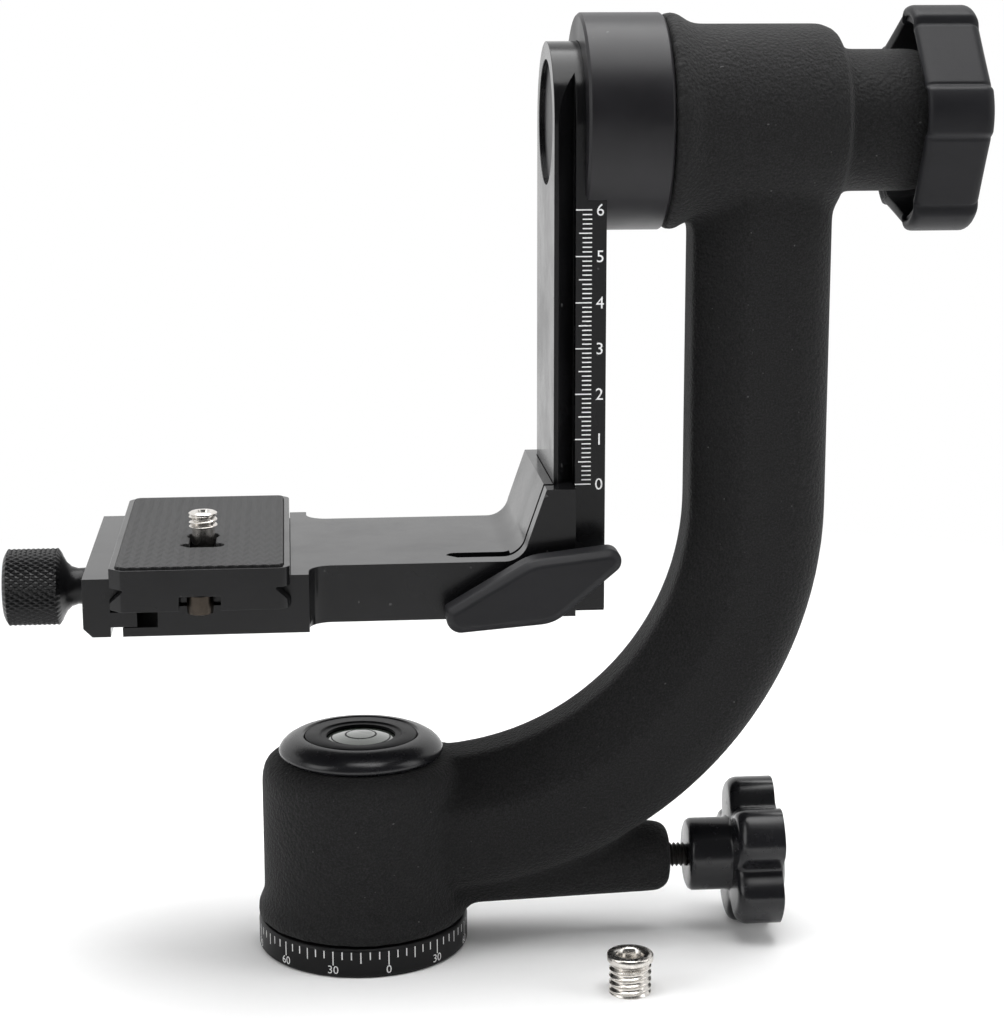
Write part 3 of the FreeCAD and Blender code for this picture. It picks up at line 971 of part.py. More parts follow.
def make_plate():
    """Quick release plate, its rubber, its camera screw and its stop screws."""
    body = new_body("release_plate")
    half = "plate_length / 2"
    pad(body, rounded_plan(body, "plate_plan", PLATE_BOTTOM, "plate_half", half, "plate_corner"),
        "plate_thick")
    low = PLATE_BOTTOM + " + dovetail_flange"
    high = PLATE_BOTTOM + " + dovetail_top"
    for name, sign in (("left", "-"), ("right", "+")):
        edge = "plate_x %s plate_half" % sign
        back = "+" if sign == "-" else "-"
        cut = draw(new_sketch(body, "dovetail_" + name + "_cut", "XZ_Plane"), [
            (edge, low), ("%s %s dovetail_deep" % (edge, back), low + " + dovetail_deep"),
            ("%s %s dovetail_deep" % (edge, back), high), ("%s %s plate_corner" % (edge, sign), high),
            ("%s %s plate_corner" % (edge, sign), low)])
        pocket(body, cut, "2 * plate_length", midplane=True)
    seat = rounded_plan(body, "pad_seat", PLATE_TOP, "(plate_half - pad_rim)", "(%s - pad_rim)" % half,
                        "pad_corner")
    pocket(body, seat, "pad_sink")
    notch_low = STOP_Y + " - stop_notch_half"
    for name, sign in (("front", "-"), ("back", "")):
        near, far = sign + "(%s)" % notch_low, sign + "(plate_length)"
        notch = draw(new_sketch(body, "notch_" + name, "XY_Plane", {"z": PLATE_BOTTOM}), [
            ("plate_x - stop_notch_half", near), ("plate_x + stop_notch_half", near),
            ("plate_x + stop_notch_half", far), ("plate_x - stop_notch_half", far)])
        pocket(body, notch, "stop_notch_height", reverse=True)
    head = draw_circle(new_sketch(body, "screw_head_seat", "XY_Plane", {"z": PLATE_BOTTOM}), "plate_x",
                       "camera_screw_y", "camera_head_radius + running_fit")
    pocket(body, head, "camera_head_thick + clear_gap", reverse=True)
    shank = draw_circle(new_sketch(body, "screw_way", "XY_Plane", {"z": PLATE_BOTTOM}), "plate_x",
                        "camera_screw_y", "screw_thread_radius + running_fit")
    pocket(body, shank, reverse=True)

    cut_screw_way(body, "plate_way", PLATE_BOTTOM)

    rubber = new_body("rubber_pad")
    seat_floor = PLATE_TOP + " - pad_sink"
    pad(rubber, rounded_plan(rubber, "pad_plan", seat_floor, "(plate_half - pad_rim - running_fit)",
                             "(%s - pad_rim - running_fit)" % half, "pad_corner"), "pad_thick")
    way = draw_circle(new_sketch(rubber, "pad_screw_way", "XY_Plane", {"z": seat_floor}), "plate_x",
                      "camera_screw_y", "screw_thread_radius + clear_gap")
    pocket(rubber, way, reverse=True)
    cut_screw_way(rubber, "pad_way", seat_floor)
    end = "pad_slot_wide / 2"
    low_y = "pad_slot_y - pad_slot_wide / 2"
    high_y = "pad_slot_y + pad_slot_wide / 2"
    slot = draw(new_sketch(rubber, "pad_slot", "XY_Plane", {"z": seat_floor}), [
        ("plate_x - pad_slot_half + " + end, low_y), ("plate_x + pad_slot_half - " + end, low_y),
        ("plate_x + pad_slot_half", "pad_slot_y", end, 1),
        ("plate_x + pad_slot_half - " + end, high_y, end, 1),
        ("plate_x - pad_slot_half + " + end, high_y), ("plate_x - pad_slot_half", "pad_slot_y", end, 1)])
    pocket(rubber, slot, reverse=True)

    top = PAD_TOP + " + camera_screw_reach"
    base = "(%s + clear_gap / 2)" % PLATE_BOTTOM
    turned_up("camera_screw", [
        ("0", "0"), ("camera_head_radius", "0"), ("camera_head_radius", "camera_head_thick"),
        ("camera_neck_radius", "camera_head_thick"), ("camera_neck_radius", "%s - %s" % (PAD_TOP, base)),
        ("screw_thread_radius", "%s - %s" % (PAD_TOP, base)),
        ("screw_thread_radius", "%s - %s - edge_chamfer" % (top, base)),
        ("screw_thread_radius - edge_chamfer", "%s - %s" % (top, base)), ("0", "%s - %s" % (top, base))],
        {"x": "plate_x", "y": "camera_screw_y", "z": base})
    stops = []
    for name, sign in (("front", "-"), ("back", "")):
        stop = doc.addObject("Part::Cylinder", "stop_" + name)
        bind(stop, {"Radius": "stop_radius", "Height": "stop_below + stop_notch_height",
                    "Placement.Base.x": "plate_x", "Placement.Base.y": sign + STOP_Y,
                    "Placement.Base.z": PLATE_BOTTOM + " - stop_below"})
        stops.append(stop)
    group = doc.addObject("Part::Compound", "stop_screws")
    group.Links = stops
    group.Label = "stop_screws"


NODES = [
    "pan_base", "pan_washer", "pan_spring_washer", "pan_nut", "reducer_bushing", "yoke",
    "pan_bearing_lower", "pan_bearing_upper", "tilt_bearing_inner", "tilt_bearing_outer",
    "tilt_friction_washer", "tilt_thrust_washer", "level_cap", "level_insert", "level_vial",
    "pan_knob", "pan_knob_stud", "pan_brake_shoe", "tilt_drum", "tilt_axle", "tilt_knob",
    "tilt_knob_insert", "rail", "axle_bolt", "axle_cap", "drum_screws", "bracket", "clamp_lever",
    "lever_screw", "moving_jaw", "clamp_knob", "clamp_screw", "release_plate", "rubber_pad",
    "camera_screw", "stop_screws",
]


def check_model():
    """Stop if an object failed or a sub-part has no valid shape."""
    for item in doc.Objects:
        if any(state in ("Invalid", "Error") for state in item.State):
            raise RuntimeError("%s failed: %s" % (item.Name, item.State))
    for label in NODES:
        shape = doc.getObjectsByLabel(label)[0].Shape
        if shape.isNull() or not shape.isValid() or not shape.Solids:
            raise RuntimeError(label + " has no valid solid")


def write_parts():
    os.makedirs("parts", exist_ok=True)
    for label in NODES:
        doc.getObjectsByLabel(label)[0].Shape.exportStep("parts/%s.step" % label)


make_pan_base()
make_bushing()
make_yoke()
make_bearings()
make_level()
make_pan_knob()
make_drum()
make_tilt_knob()
make_rail()
make_bracket()
make_lever()
make_jaw()
make_plate()
doc.recompute()
check_model()
write_parts()
for label in NODES:
    print("%-22s %8.0f mm3" % (label, doc.getObjectsByLabel(label)[0].Shape.Volume))
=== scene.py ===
import sys
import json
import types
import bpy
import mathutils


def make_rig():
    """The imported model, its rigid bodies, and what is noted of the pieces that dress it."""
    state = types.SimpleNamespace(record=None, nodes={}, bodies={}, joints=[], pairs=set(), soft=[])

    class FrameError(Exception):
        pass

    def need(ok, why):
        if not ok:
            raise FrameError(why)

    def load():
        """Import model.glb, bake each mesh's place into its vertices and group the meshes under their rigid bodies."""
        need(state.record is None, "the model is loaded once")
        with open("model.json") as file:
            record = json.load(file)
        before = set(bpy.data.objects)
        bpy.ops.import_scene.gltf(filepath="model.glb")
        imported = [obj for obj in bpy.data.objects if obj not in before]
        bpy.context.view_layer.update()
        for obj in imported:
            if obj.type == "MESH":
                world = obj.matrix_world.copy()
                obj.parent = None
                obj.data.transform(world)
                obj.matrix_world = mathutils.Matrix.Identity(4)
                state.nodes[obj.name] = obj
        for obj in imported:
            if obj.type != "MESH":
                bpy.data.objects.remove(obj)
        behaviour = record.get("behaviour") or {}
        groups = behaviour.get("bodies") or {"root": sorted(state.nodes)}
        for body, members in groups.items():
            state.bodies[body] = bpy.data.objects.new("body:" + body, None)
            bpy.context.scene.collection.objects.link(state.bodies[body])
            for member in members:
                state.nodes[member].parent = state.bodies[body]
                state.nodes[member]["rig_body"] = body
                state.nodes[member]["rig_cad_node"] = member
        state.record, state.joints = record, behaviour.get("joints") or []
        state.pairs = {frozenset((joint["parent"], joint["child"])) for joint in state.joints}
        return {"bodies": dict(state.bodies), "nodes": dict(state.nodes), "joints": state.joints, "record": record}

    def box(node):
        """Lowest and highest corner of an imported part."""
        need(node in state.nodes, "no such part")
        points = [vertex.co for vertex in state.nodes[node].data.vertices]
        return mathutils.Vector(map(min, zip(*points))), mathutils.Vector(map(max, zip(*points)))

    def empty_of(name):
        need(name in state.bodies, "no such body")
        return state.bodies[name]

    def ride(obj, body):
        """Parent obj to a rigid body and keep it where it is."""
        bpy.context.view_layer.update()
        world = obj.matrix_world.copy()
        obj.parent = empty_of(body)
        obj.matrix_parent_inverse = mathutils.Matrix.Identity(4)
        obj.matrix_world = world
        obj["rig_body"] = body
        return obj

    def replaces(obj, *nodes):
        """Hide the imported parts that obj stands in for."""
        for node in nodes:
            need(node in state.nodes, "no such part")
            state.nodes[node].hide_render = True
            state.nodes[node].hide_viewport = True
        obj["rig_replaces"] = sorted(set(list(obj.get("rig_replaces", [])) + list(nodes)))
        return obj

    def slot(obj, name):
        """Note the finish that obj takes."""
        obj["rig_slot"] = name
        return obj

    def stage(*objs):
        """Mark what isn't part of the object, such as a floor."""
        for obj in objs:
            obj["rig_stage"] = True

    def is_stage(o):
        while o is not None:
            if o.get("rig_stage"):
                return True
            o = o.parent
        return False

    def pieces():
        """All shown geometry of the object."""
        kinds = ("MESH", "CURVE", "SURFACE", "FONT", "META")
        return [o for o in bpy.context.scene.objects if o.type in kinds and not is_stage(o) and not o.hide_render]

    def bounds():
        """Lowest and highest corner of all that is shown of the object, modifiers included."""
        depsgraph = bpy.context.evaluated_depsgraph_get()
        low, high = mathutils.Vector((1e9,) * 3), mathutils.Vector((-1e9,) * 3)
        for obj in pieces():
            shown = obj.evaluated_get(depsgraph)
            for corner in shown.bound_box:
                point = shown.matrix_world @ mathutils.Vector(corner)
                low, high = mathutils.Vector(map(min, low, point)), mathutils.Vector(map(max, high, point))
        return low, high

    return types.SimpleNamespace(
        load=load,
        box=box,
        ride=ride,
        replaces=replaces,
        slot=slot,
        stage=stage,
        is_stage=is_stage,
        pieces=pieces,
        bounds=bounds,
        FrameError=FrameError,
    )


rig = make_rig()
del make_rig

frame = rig.load()

import json
import math

import bmesh
import bpy
import numpy as np
from mathutils import Matrix

# Dresses a gimbal tripod head: the packed solids stay where they are, and each
# visible one gets its real finish, eased edges, threads, knurls and scales.
# Everything is in metres in the solids' own frame: +Z up, -Y front, +X to the yoke's arm.

bl_info = {
    "name": "Gimbal Head Dresser",
    "version": (1, 0, 0),
    "blender": (4, 5, 0),
    "location": "View3D > Sidebar > Gimbal",
    "description": "Builds the visible pieces and finishes of a gimbal tripod head",
    "category": "Object",
}

MM = 0.001
CAD_BOX = [list(corner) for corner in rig.bounds()]

# places that the solids share
TILT_Z = 189.0 * MM
STUD_Z = 18.0 * MM
CLAMP_SCREW_Z = 86.6 * MM
PLATE_X = -34.4 * MM
CAMERA_SCREW_Y = -7.0 * MM
STOP_SCREW_Y = 34.9 * MM
RAIL_FRONT_Y = -17.5 * MM
RING_TOP = 7.18 * MM
LOBES = 5

# the printed scales: how far the ink stands off, and the rail scale's ticks in millimetres
INK_OFFSET = 0.012 * MM
TICK_HALF = 0.13 * MM
RAIL_ZERO = 111.2
RAIL_TICKS = 61
RING_TICKS = 72
RING_NUMBERS = 12
RING_TURN = 0.204 - math.pi / 2


class HeadSettings(bpy.types.PropertyGroup):
    """Sizes and colours of the dressed head that a user may change."""

    edge_width: bpy.props.FloatProperty(
        name="Edge width", description="Width of the eased edges of machined pieces",
        default=0.35 * MM, unit="LENGTH")
    anodised: bpy.props.FloatVectorProperty(
        name="Anodised", description="Colour of the anodised metal", subtype="COLOR", size=3,
        default=(0.0048, 0.0048, 0.0052))
    coat: bpy.props.FloatVectorProperty(
        name="Soft coat", description="Colour of the grained coat on the yoke", subtype="COLOR", size=3,
        default=(0.0062, 0.0062, 0.0064))
    plastic: bpy.props.FloatVectorProperty(
        name="Plastic", description="Colour of the moulded knobs", subtype="COLOR", size=3,
        default=(0.0075, 0.0075, 0.0088))
    ink: bpy.props.FloatVectorProperty(
        name="Scale ink", description="Colour of the printed scales", subtype="COLOR", size=3,
        default=(0.82, 0.82, 0.82))
    knurl_depth: bpy.props.FloatProperty(
        name="Knurl depth", description="Depth of the diamond knurl on the clamp knob",
        default=0.3 * MM, unit="LENGTH")
    coat_smoothing: bpy.props.IntProperty(
        name="Coat smoothing", description="How many times the yoke's joints are smoothed", default=9, min=0)


def settings():
    return bpy.context.scene.gimbal_head


class Value:
    """A socket that Python's operators can work on."""

    def __init__(self, tree, socket):
        self.tree = tree
        self.socket = socket

    def _maths(self, operation, first, second=None):
        return self.tree.node("ShaderNodeMath", {"operation": operation}, {0: first, 1: second})

    def __add__(self, other):
        return self._maths("ADD", self, other)

    __radd__ = __add__

    def __mul__(self, other):
        return self._maths("MULTIPLY", self, other)

    __rmul__ = __mul__

    def __sub__(self, other):
        return self._maths("SUBTRACT", self, other)

    def __rsub__(self, other):
        return self._maths("SUBTRACT", other, self)

    def __truediv__(self, other):
        return self._maths("DIVIDE", self, other)

    def __gt__(self, other):
        return self._maths("GREATER_THAN", self, other)


class Finish:
    """A material's node tree, built by calls and expressions."""

    def __init__(self, name):
        self.material = bpy.data.materials.new(name)
        self.material.use_nodes = True
        self.nodes = self.material.node_tree.nodes
        self.links = self.material.node_tree.links
        self.nodes.clear()
        self.place = self.node("ShaderNodeTexCoord", output="Object")

    def node(self, kind, choices=None, inputs=None, output=0):
        """Add a node: its choices are set first, then its inputs are set or linked."""
        made = self.nodes.new(kind)
        for name, choice in (choices or {}).items():
            if name == "stops":
                ramp = made.color_ramp
                while len(ramp.elements) < len(choice):
                    ramp.elements.new(0.5)
                for element, (spot, colour) in zip(ramp.elements, choice):
                    element.position = spot
                    element.color = colour
            else:
                setattr(made, name, choice)
        for name, item in (inputs or {}).items():
            if isinstance(item, Value):
                self.links.new(item.socket, made.inputs[name])
            else:
                made.inputs[name].default_value = item
        return Value(self, made.outputs[output])

    def noise(self, scale, detail=2.0, roughness=0.5, place=None):
        """Noise between 0 and 1, its scale in cells per metre."""
        return self.node("ShaderNodeTexNoise", None, {
            "Vector": place or self.place, "Scale": scale, "Detail": detail, "Roughness": roughness})

    def stretched(self, factors):
        """Object coordinates multiplied along each axis."""
        return self.node("ShaderNodeMapping", {"vector_type": "POINT"}, {
            "Vector": self.place, "Scale": factors})

    def axis(self, letter):
        """One of the object coordinates."""
        return self.node("ShaderNodeSeparateXYZ", None, {0: self.place}, output=letter)

    def fold(self, source, reach):
        """A wave of straight flanks that goes from 0 to the reach and back."""
        return self.node("ShaderNodeMath", {"operation": "PINGPONG"}, {0: source, 1: reach})

    def ramp(self, source, low, high, start=0.0, end=1.0):
        return self.node("ShaderNodeMapRange", {"clamp": True}, {
            "Value": source, "From Min": low, "From Max": high, "To Min": start, "To Max": end})

    def blend(self, amount, first, second):
        """Mix two colours, each a tuple of three or a link."""
        full = [item if isinstance(item, Value) else (*item, 1.0) for item in (first, second)]
        return self.node("ShaderNodeMix", {"data_type": "RGBA"}, {
            0: amount, 6: full[0], 7: full[1]}, output=2)

    def bump(self, height, distance, strength):
        return self.node("ShaderNodeBump", None, {
            "Height": height, "Distance": distance, "Strength": strength})

    def surface(self, **inputs):
        """Finish the material with a Principled shader."""
        named = {key.replace("_", " ").title().replace("Ior", "IOR"): item for key, item in inputs.items()}
        colour = named.get("Base Color")
        if isinstance(colour, (tuple, list)):
            named["Base Color"] = (*colour[:3], 1.0)
        shader = self.node("ShaderNodeBsdfPrincipled", None, named)
        self.node_output(shader)
        return self.material

    def node_output(self, shader):
        made = self.nodes.new("ShaderNodeOutputMaterial")
        self.links.new(shader.socket, made.inputs["Surface"])


def anodised_metal(name, along=(1.0, 1.0, 1.0), colour=None, roughness=0.36, shine=0.2):
    """Satin black anodised aluminium with fine tool marks and a few dust specks."""
    colour = colour or tuple(settings().anodised)
    finish = Finish(name)
    grain = finish.noise(9000.0, 2.0, 0.6, finish.stretched(along))
    bead = finish.noise(5200.0, 1.0)
    cloud = finish.noise(60.0, 3.0, 0.6)
    dust = finish.noise(640.0, 0.0) > 0.86
    lighter = tuple(part * 1.7 for part in colour)
    base = finish.blend(finish.ramp(cloud, 0.3, 0.75), colour, lighter)
    base = finish.blend(dust * 0.35, base, (0.12, 0.12, 0.12))
    rough = finish.ramp(cloud, 0.3, 0.7, roughness - 0.04, roughness + 0.07) + (grain - 0.5) * 0.10
    bumps = finish.bump(grain * 0.6 + bead * 0.4, 0.02 * MM, 0.5)
    return finish.surface(base_color=base, roughness=rough, normal=bumps, specular_ior_level=shine)


def soft_coat():
    """Fine grained black coat: pebbled bumps, uneven sheen and sparse pale specks."""
    finish = Finish("soft_coat")
    pebbles = finish.node("ShaderNodeTexVoronoi", {"feature": "SMOOTH_F1"}, {
        "Vector": finish.place, "Scale": 1250.0, "Smoothness": 0.5})
    fine = finish.noise(2600.0, 3.0, 0.7)
    patches = finish.noise(42.0, 3.0, 0.6)
    speck = finish.ramp(finish.noise(1250.0, 0.0), 0.85, 0.9)
    black = tuple(settings().coat)
    worn = tuple(part * 3.4 for part in black)
    base = finish.blend(finish.ramp(fine * 0.85 + patches * 0.15, 0.42, 0.68), black, worn)
    base = finish.blend(speck * 0.5, base, (0.14, 0.14, 0.14))
    rough = finish.ramp(patches, 0.3, 0.7, 0.72, 0.86)
    bumps = finish.bump(pebbles * -0.8 + fine * 0.6, 0.3 * MM, 0.9)
    return finish.surface(base_color=base, roughness=rough, normal=bumps, specular_ior_level=0.22,
                          sheen_weight=0.06, sheen_roughness=0.4)


def moulded_plastic(name, roughness, grain_height, colour=None, shine=0.2):
    """Black moulded plastic: fine die texture, faint flow marks and handling wear."""
    finish = Finish(name)
    colour = colour or tuple(settings().plastic)
    die = finish.noise(4200.0, 2.0, 0.55)
    flow = finish.noise(90.0, 4.0, 0.6, finish.stretched((0.35, 1.0, 1.0)))
    scuff = finish.ramp(finish.noise(420.0, 5.0, 0.7), 0.58, 0.72)
    base = finish.blend(finish.ramp(flow, 0.3, 0.7), colour, tuple(part * 1.5 for part in colour))
    rough = finish.ramp(flow, 0.25, 0.75, roughness - 0.05, roughness + 0.06) + scuff * 0.12
    bumps = finish.bump(die, grain_height, 0.55)
    return finish.surface(base_color=base, roughness=rough, normal=bumps, specular_ior_level=shine)


def ribbed_rubber():
    """Black rubber with fine zigzag ribs that run across the plate."""
    finish = Finish("ribbed_rubber")
    across = finish.axis("X")
    along = finish.axis("Y")
    zigzag = finish.fold(across, 1.15 * MM)
    waves = finish.fold(along + zigzag * 0.8, 0.6 * MM) / (0.6 * MM)
    fine = finish.noise(3500.0, 2.0)
    # painted shade: the colour is darker in the rib valleys and lighter on the crests, following the rib height
    base = finish.blend(waves, (0.0075, 0.0075, 0.008), (0.021, 0.021, 0.022))
    bumps = finish.bump(waves + fine * 0.08, 0.35 * MM, 0.9)
    return finish.surface(base_color=base, roughness=finish.ramp(waves, 0.0, 1.0, 0.72, 0.55), normal=bumps)


def bright_metal(name, colour, roughness, along=(1.0, 1.0, 1.0)):
    """Plated or turned metal with fine turning marks and a thin tarnish."""
    finish = Finish(name)
    turning = finish.noise(7000.0, 2.0, 0.6, finish.stretched(along))
    stain = finish.noise(500.0, 4.0, 0.6)
    dark = tuple(part * 0.62 for part in colour)
    base = finish.blend(finish.ramp(stain, 0.45, 0.75, 0.0, 0.6), colour, dark)
    rough = finish.ramp(stain, 0.3, 0.7, roughness - 0.04, roughness + 0.12)
    bumps = finish.bump(turning, 0.01 * MM, 0.6)
    return finish.surface(base_color=base, roughness=rough, metallic=1.0, normal=bumps)


def scale_ink():
    """Screen printed white ink, a little uneven where it is thin."""
    finish = Finish("scale_ink")
    thin = finish.ramp(finish.noise(2600.0, 3.0, 0.6), 0.5, 0.72)
    colour = tuple(settings().ink)
    base = finish.blend(thin * 0.3, colour, tuple(part * 0.6 for part in colour))
    return finish.surface(base_color=base, roughness=0.6)


def vial_liquid():
    """Pale yellow green liquid with a faint glow of the light that comes through it."""
    finish = Finish("vial_liquid")
    cloud = finish.noise(300.0, 2.0)
    base = finish.blend(cloud, (0.05, 0.08, 0.05), (0.13, 0.18, 0.12))
    return finish.surface(base_color=base, roughness=finish.ramp(cloud, 0.3, 0.7, 0.10, 0.2), coat_weight=1.0,
                          coat_roughness=0.03)


MATERIALS = {}

# the record's slot that each finish stands for; the printed ink has none
SLOTS = {
    "anodised_rail": "black_anodised",
    "anodised_bracket": "black_anodised",
    "anodised_turned": "black_anodised",
    "anodised_ring": "black_anodised",
    "anodised_knurl": "black_anodised",
    "soft_coat": "foam_coat",
    "gloss_plastic": "black_gloss",
    "satin_plastic": "black_plastic",
    "lever_plastic": "black_plastic",
    "ribbed_rubber": "rubber_black",
    "nickel": "nickel",
    "ground_steel": "steel_bright",
    "black_steel": "steel_dark",
    "brown_steel": "steel_dark",
    "brass": "brass",
    "vial_liquid": "vial_glass",
}


def make_materials():
    """All finishes, by the name that the pieces ask for."""
    MATERIALS.update({
        "anodised_rail": anodised_metal("anodised_rail", (1.0, 1.0, 0.03), roughness=0.18, shine=0.24),
        "anodised_bracket": anodised_metal("anodised_bracket", (0.05, 1.0, 1.0), roughness=0.17, shine=0.27),
        "anodised_turned": anodised_metal("anodised_turned", (0.04, 1.0, 1.0), (0.0088, 0.0085, 0.0098),
                                          0.36, 0.28),
        "anodised_ring": anodised_metal("anodised_ring", (1.0, 1.0, 0.05), roughness=0.4),
        "anodised_knurl": anodised_metal("anodised_knurl", roughness=0.3),
        "soft_coat": soft_coat(),
        "gloss_plastic": moulded_plastic("gloss_plastic", 0.24, 0.01 * MM, shine=0.42),
        "satin_plastic": moulded_plastic("satin_plastic", 0.42, 0.03 * MM, (0.0095, 0.0095, 0.0108), 0.14),
        "lever_plastic": moulded_plastic("lever_plastic", 0.5, 0.03 * MM, (0.0105, 0.0105, 0.0117)),
        "ribbed_rubber": ribbed_rubber(),
        "nickel": bright_metal("nickel", (0.74, 0.71, 0.67), 0.2, (1.0, 1.0, 0.1)),
        "ground_steel": bright_metal("ground_steel", (0.60, 0.60, 0.61), 0.28),
        "black_steel": anodised_metal("black_steel", colour=(0.02, 0.019, 0.018), roughness=0.3),
        "brown_steel": bright_metal("brown_steel", (0.055, 0.046, 0.038), 0.3),
        "brass": bright_metal("brass", (0.68, 0.50, 0.22), 0.25),
        "scale_ink": scale_ink(),
        "vial_liquid": vial_liquid(),
    })


def add_mesh(name, points, faces, material, body, smooth=True):
    """A new piece from arrays of points and faces, riding on a body."""
    mesh = bpy.data.meshes.new(name)
    mesh.from_pydata(np.asarray(points, float).reshape(-1, 3), [], [tuple(face) for face in faces])
    mesh.validate()
    mesh.update()
    return add_piece(name, mesh, material, body, smooth)


def add_piece(name, mesh, material, body, smooth=True):
    mesh.materials.clear()
    mesh.materials.append(MATERIALS[material])
    mesh.polygons.foreach_set("use_smooth", np.full(len(mesh.polygons), smooth))
    piece = bpy.data.objects.new(name, mesh)
    bpy.context.collection.objects.link(piece)
    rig.ride(piece, body)
    if material in SLOTS:
        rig.slot(piece, SLOTS[material])
    return piece


def grid_faces(rows, columns):
    """Quads of a grid that is closed in its second direction."""
    row, column = np.meshgrid(np.arange(rows - 1), np.arange(columns), indexing="ij")
    after = (column + 1) % columns
    quads = np.stack([row * columns + column, row * columns + after,
                      (row + 1) * columns + after, (row + 1) * columns + column], axis=-1)
    return quads.reshape(-1, 4)


def closed_grid(surface):
    """Points and faces of a tube, its two end rings closed by fans of one polygon."""
    rows, columns = surface.shape[:2]
    faces = [tuple(face) for face in grid_faces(rows, columns)]
    faces.append(tuple(range(columns))[::-1])
    faces.append(tuple((rows - 1) * columns + np.arange(columns)))
    return surface.reshape(-1, 3), faces


def shell(name, surface, material, body, angle=None):
    """A closed piece from rings of points, its edges steeper than the angle left sharp."""
    points, faces = closed_grid(surface)
    piece = add_mesh(name, points, faces, material, body)
    recalculate(piece.data)
    if angle is not None:
        smooth_normals(piece.data, angle)
    return piece


def turned(profile, radius_of=None, columns=96):
    """Profile (height, radius) carried round +Z: x = r cos a, y = r sin a, z = height."""
    profile = np.asarray(profile, float)
    angle = np.linspace(0.0, 2 * math.pi, columns, endpoint=False)
    radius = np.repeat(profile[:, 1:2], columns, axis=1)
    height = np.repeat(profile[:, 0:1], columns, axis=1)
    if radius_of is not None:
        radius = radius + radius_of(angle[None, :], height)
    return np.stack([radius * np.cos(angle), radius * np.sin(angle), height], axis=-1)


def triangle_wave(phase):
    """A wave of straight flanks: 0 at whole numbers and 1 half way between."""
    return 1.0 - np.abs(2.0 * (phase - np.floor(phase)) - 1.0)


def thread(pitch, depth, start, end, taper):
    """Radius change of a screw thread: a flat-topped wave that climbs one pitch a turn."""
    def change(angle, height):
        wave = np.clip(1.5 * triangle_wave(height / pitch - angle / (2 * math.pi)) - 0.15, 0.0, 1.0)
        fade = np.clip(np.minimum(height - start, end - height) / taper, 0.0, 1.0)
        return -depth * wave * fade
    return change


def smooth_normals(mesh, angle):
    """Mark the edges steeper than the angle as sharp, the rest as smooth."""
    mesh.polygons.foreach_set("use_smooth", np.ones(len(mesh.polygons), bool))
    work = bmesh.new()
    work.from_mesh(mesh)
    for edge in work.edges:
        edge.smooth = len(edge.link_faces) == 2 and edge.calc_face_angle(0.0) < math.radians(angle)
    work.to_mesh(mesh)
    work.free()


def merged_copy(node):
    """A merged copy of a solid's mesh with its flat faces joined again."""
    mesh = frame["nodes"][node].data.copy()
    work = bmesh.new()
    work.from_mesh(mesh)
    bmesh.ops.remove_doubles(work, verts=work.verts, dist=0.002 * MM)
    bmesh.ops.dissolve_limit(work, angle_limit=math.radians(1.0), verts=work.verts, edges=work.edges)
    work.to_mesh(mesh)
    work.free()
    return mesh


def eased(node, material, width, segments=2, angle=32.0):
    """A copy of a solid with its edges eased by a bevel; it stands for the solid."""
    mesh = merged_copy(node)
    piece = add_piece(node + "_eased", mesh, material, body_of(node))
    bevel = piece.modifiers.new("eased edges", "BEVEL")
    bevel.width = width
    bevel.segments = segments
    bevel.limit_method = "ANGLE"
    bevel.angle_limit = math.radians(angle)
    bevel.use_clamp_overlap = True
    even = piece.modifiers.new("even shading", "WEIGHTED_NORMAL")
    even.mode = "FACE_AREA"
    even.weight = 100
    baked = bpy.data.meshes.new_from_object(piece.evaluated_get(bpy.context.evaluated_depsgraph_get()))
    piece.modifiers.clear()
    piece.data = baked
    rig.replaces(piece, node)
    return piece


def body_of(node):
    """The body that a solid belongs to."""
    for body, nodes in frame["record"]["behaviour"]["bodies"].items():
        if node in nodes:
            return body
    raise RuntimeError("no body holds " + node)


def finish_node(node, material):
    """Give a solid that stays visible its finish."""
    mesh = frame["nodes"][node].data
    mesh.materials.clear()
    mesh.materials.append(MATERIALS[material])


def build_base():
    """Pan base, its printed ring and the screw reducer that stands beside it."""
    eased("pan_base", "anodised_ring", 0.25 * MM)
    ticks = []
    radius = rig.box("pan_base")[1].x + INK_OFFSET
    top = RING_TOP - 0.9 * MM
    for number in range(RING_TICKS):
        angle = RING_TURN + math.radians(5.0 * number)
        length = (3.3 if number % 6 == 0 else 2.6 if number % 3 == 0 else 1.8) * MM
        ticks.append(arc_plate(radius, angle, TICK_HALF / radius, top - length, top))
    join_plates("base_ticks", ticks, "scale_ink", "base")
    labels = []
    for number in range(RING_NUMBERS):
        degrees = min(number, RING_NUMBERS - number) * 30
        angle = RING_TURN + math.radians(30.0 * number)
        labels.append(wrapped_number(str(degrees), radius, angle, 1.0 * MM, 1.9 * MM))
    join_plates("base_numbers", labels, "scale_ink", "base")
    build_reducer()
    for node in ("pan_washer", "pan_spring_washer", "pan_nut"):
        finish_node(node, "ground_steel")


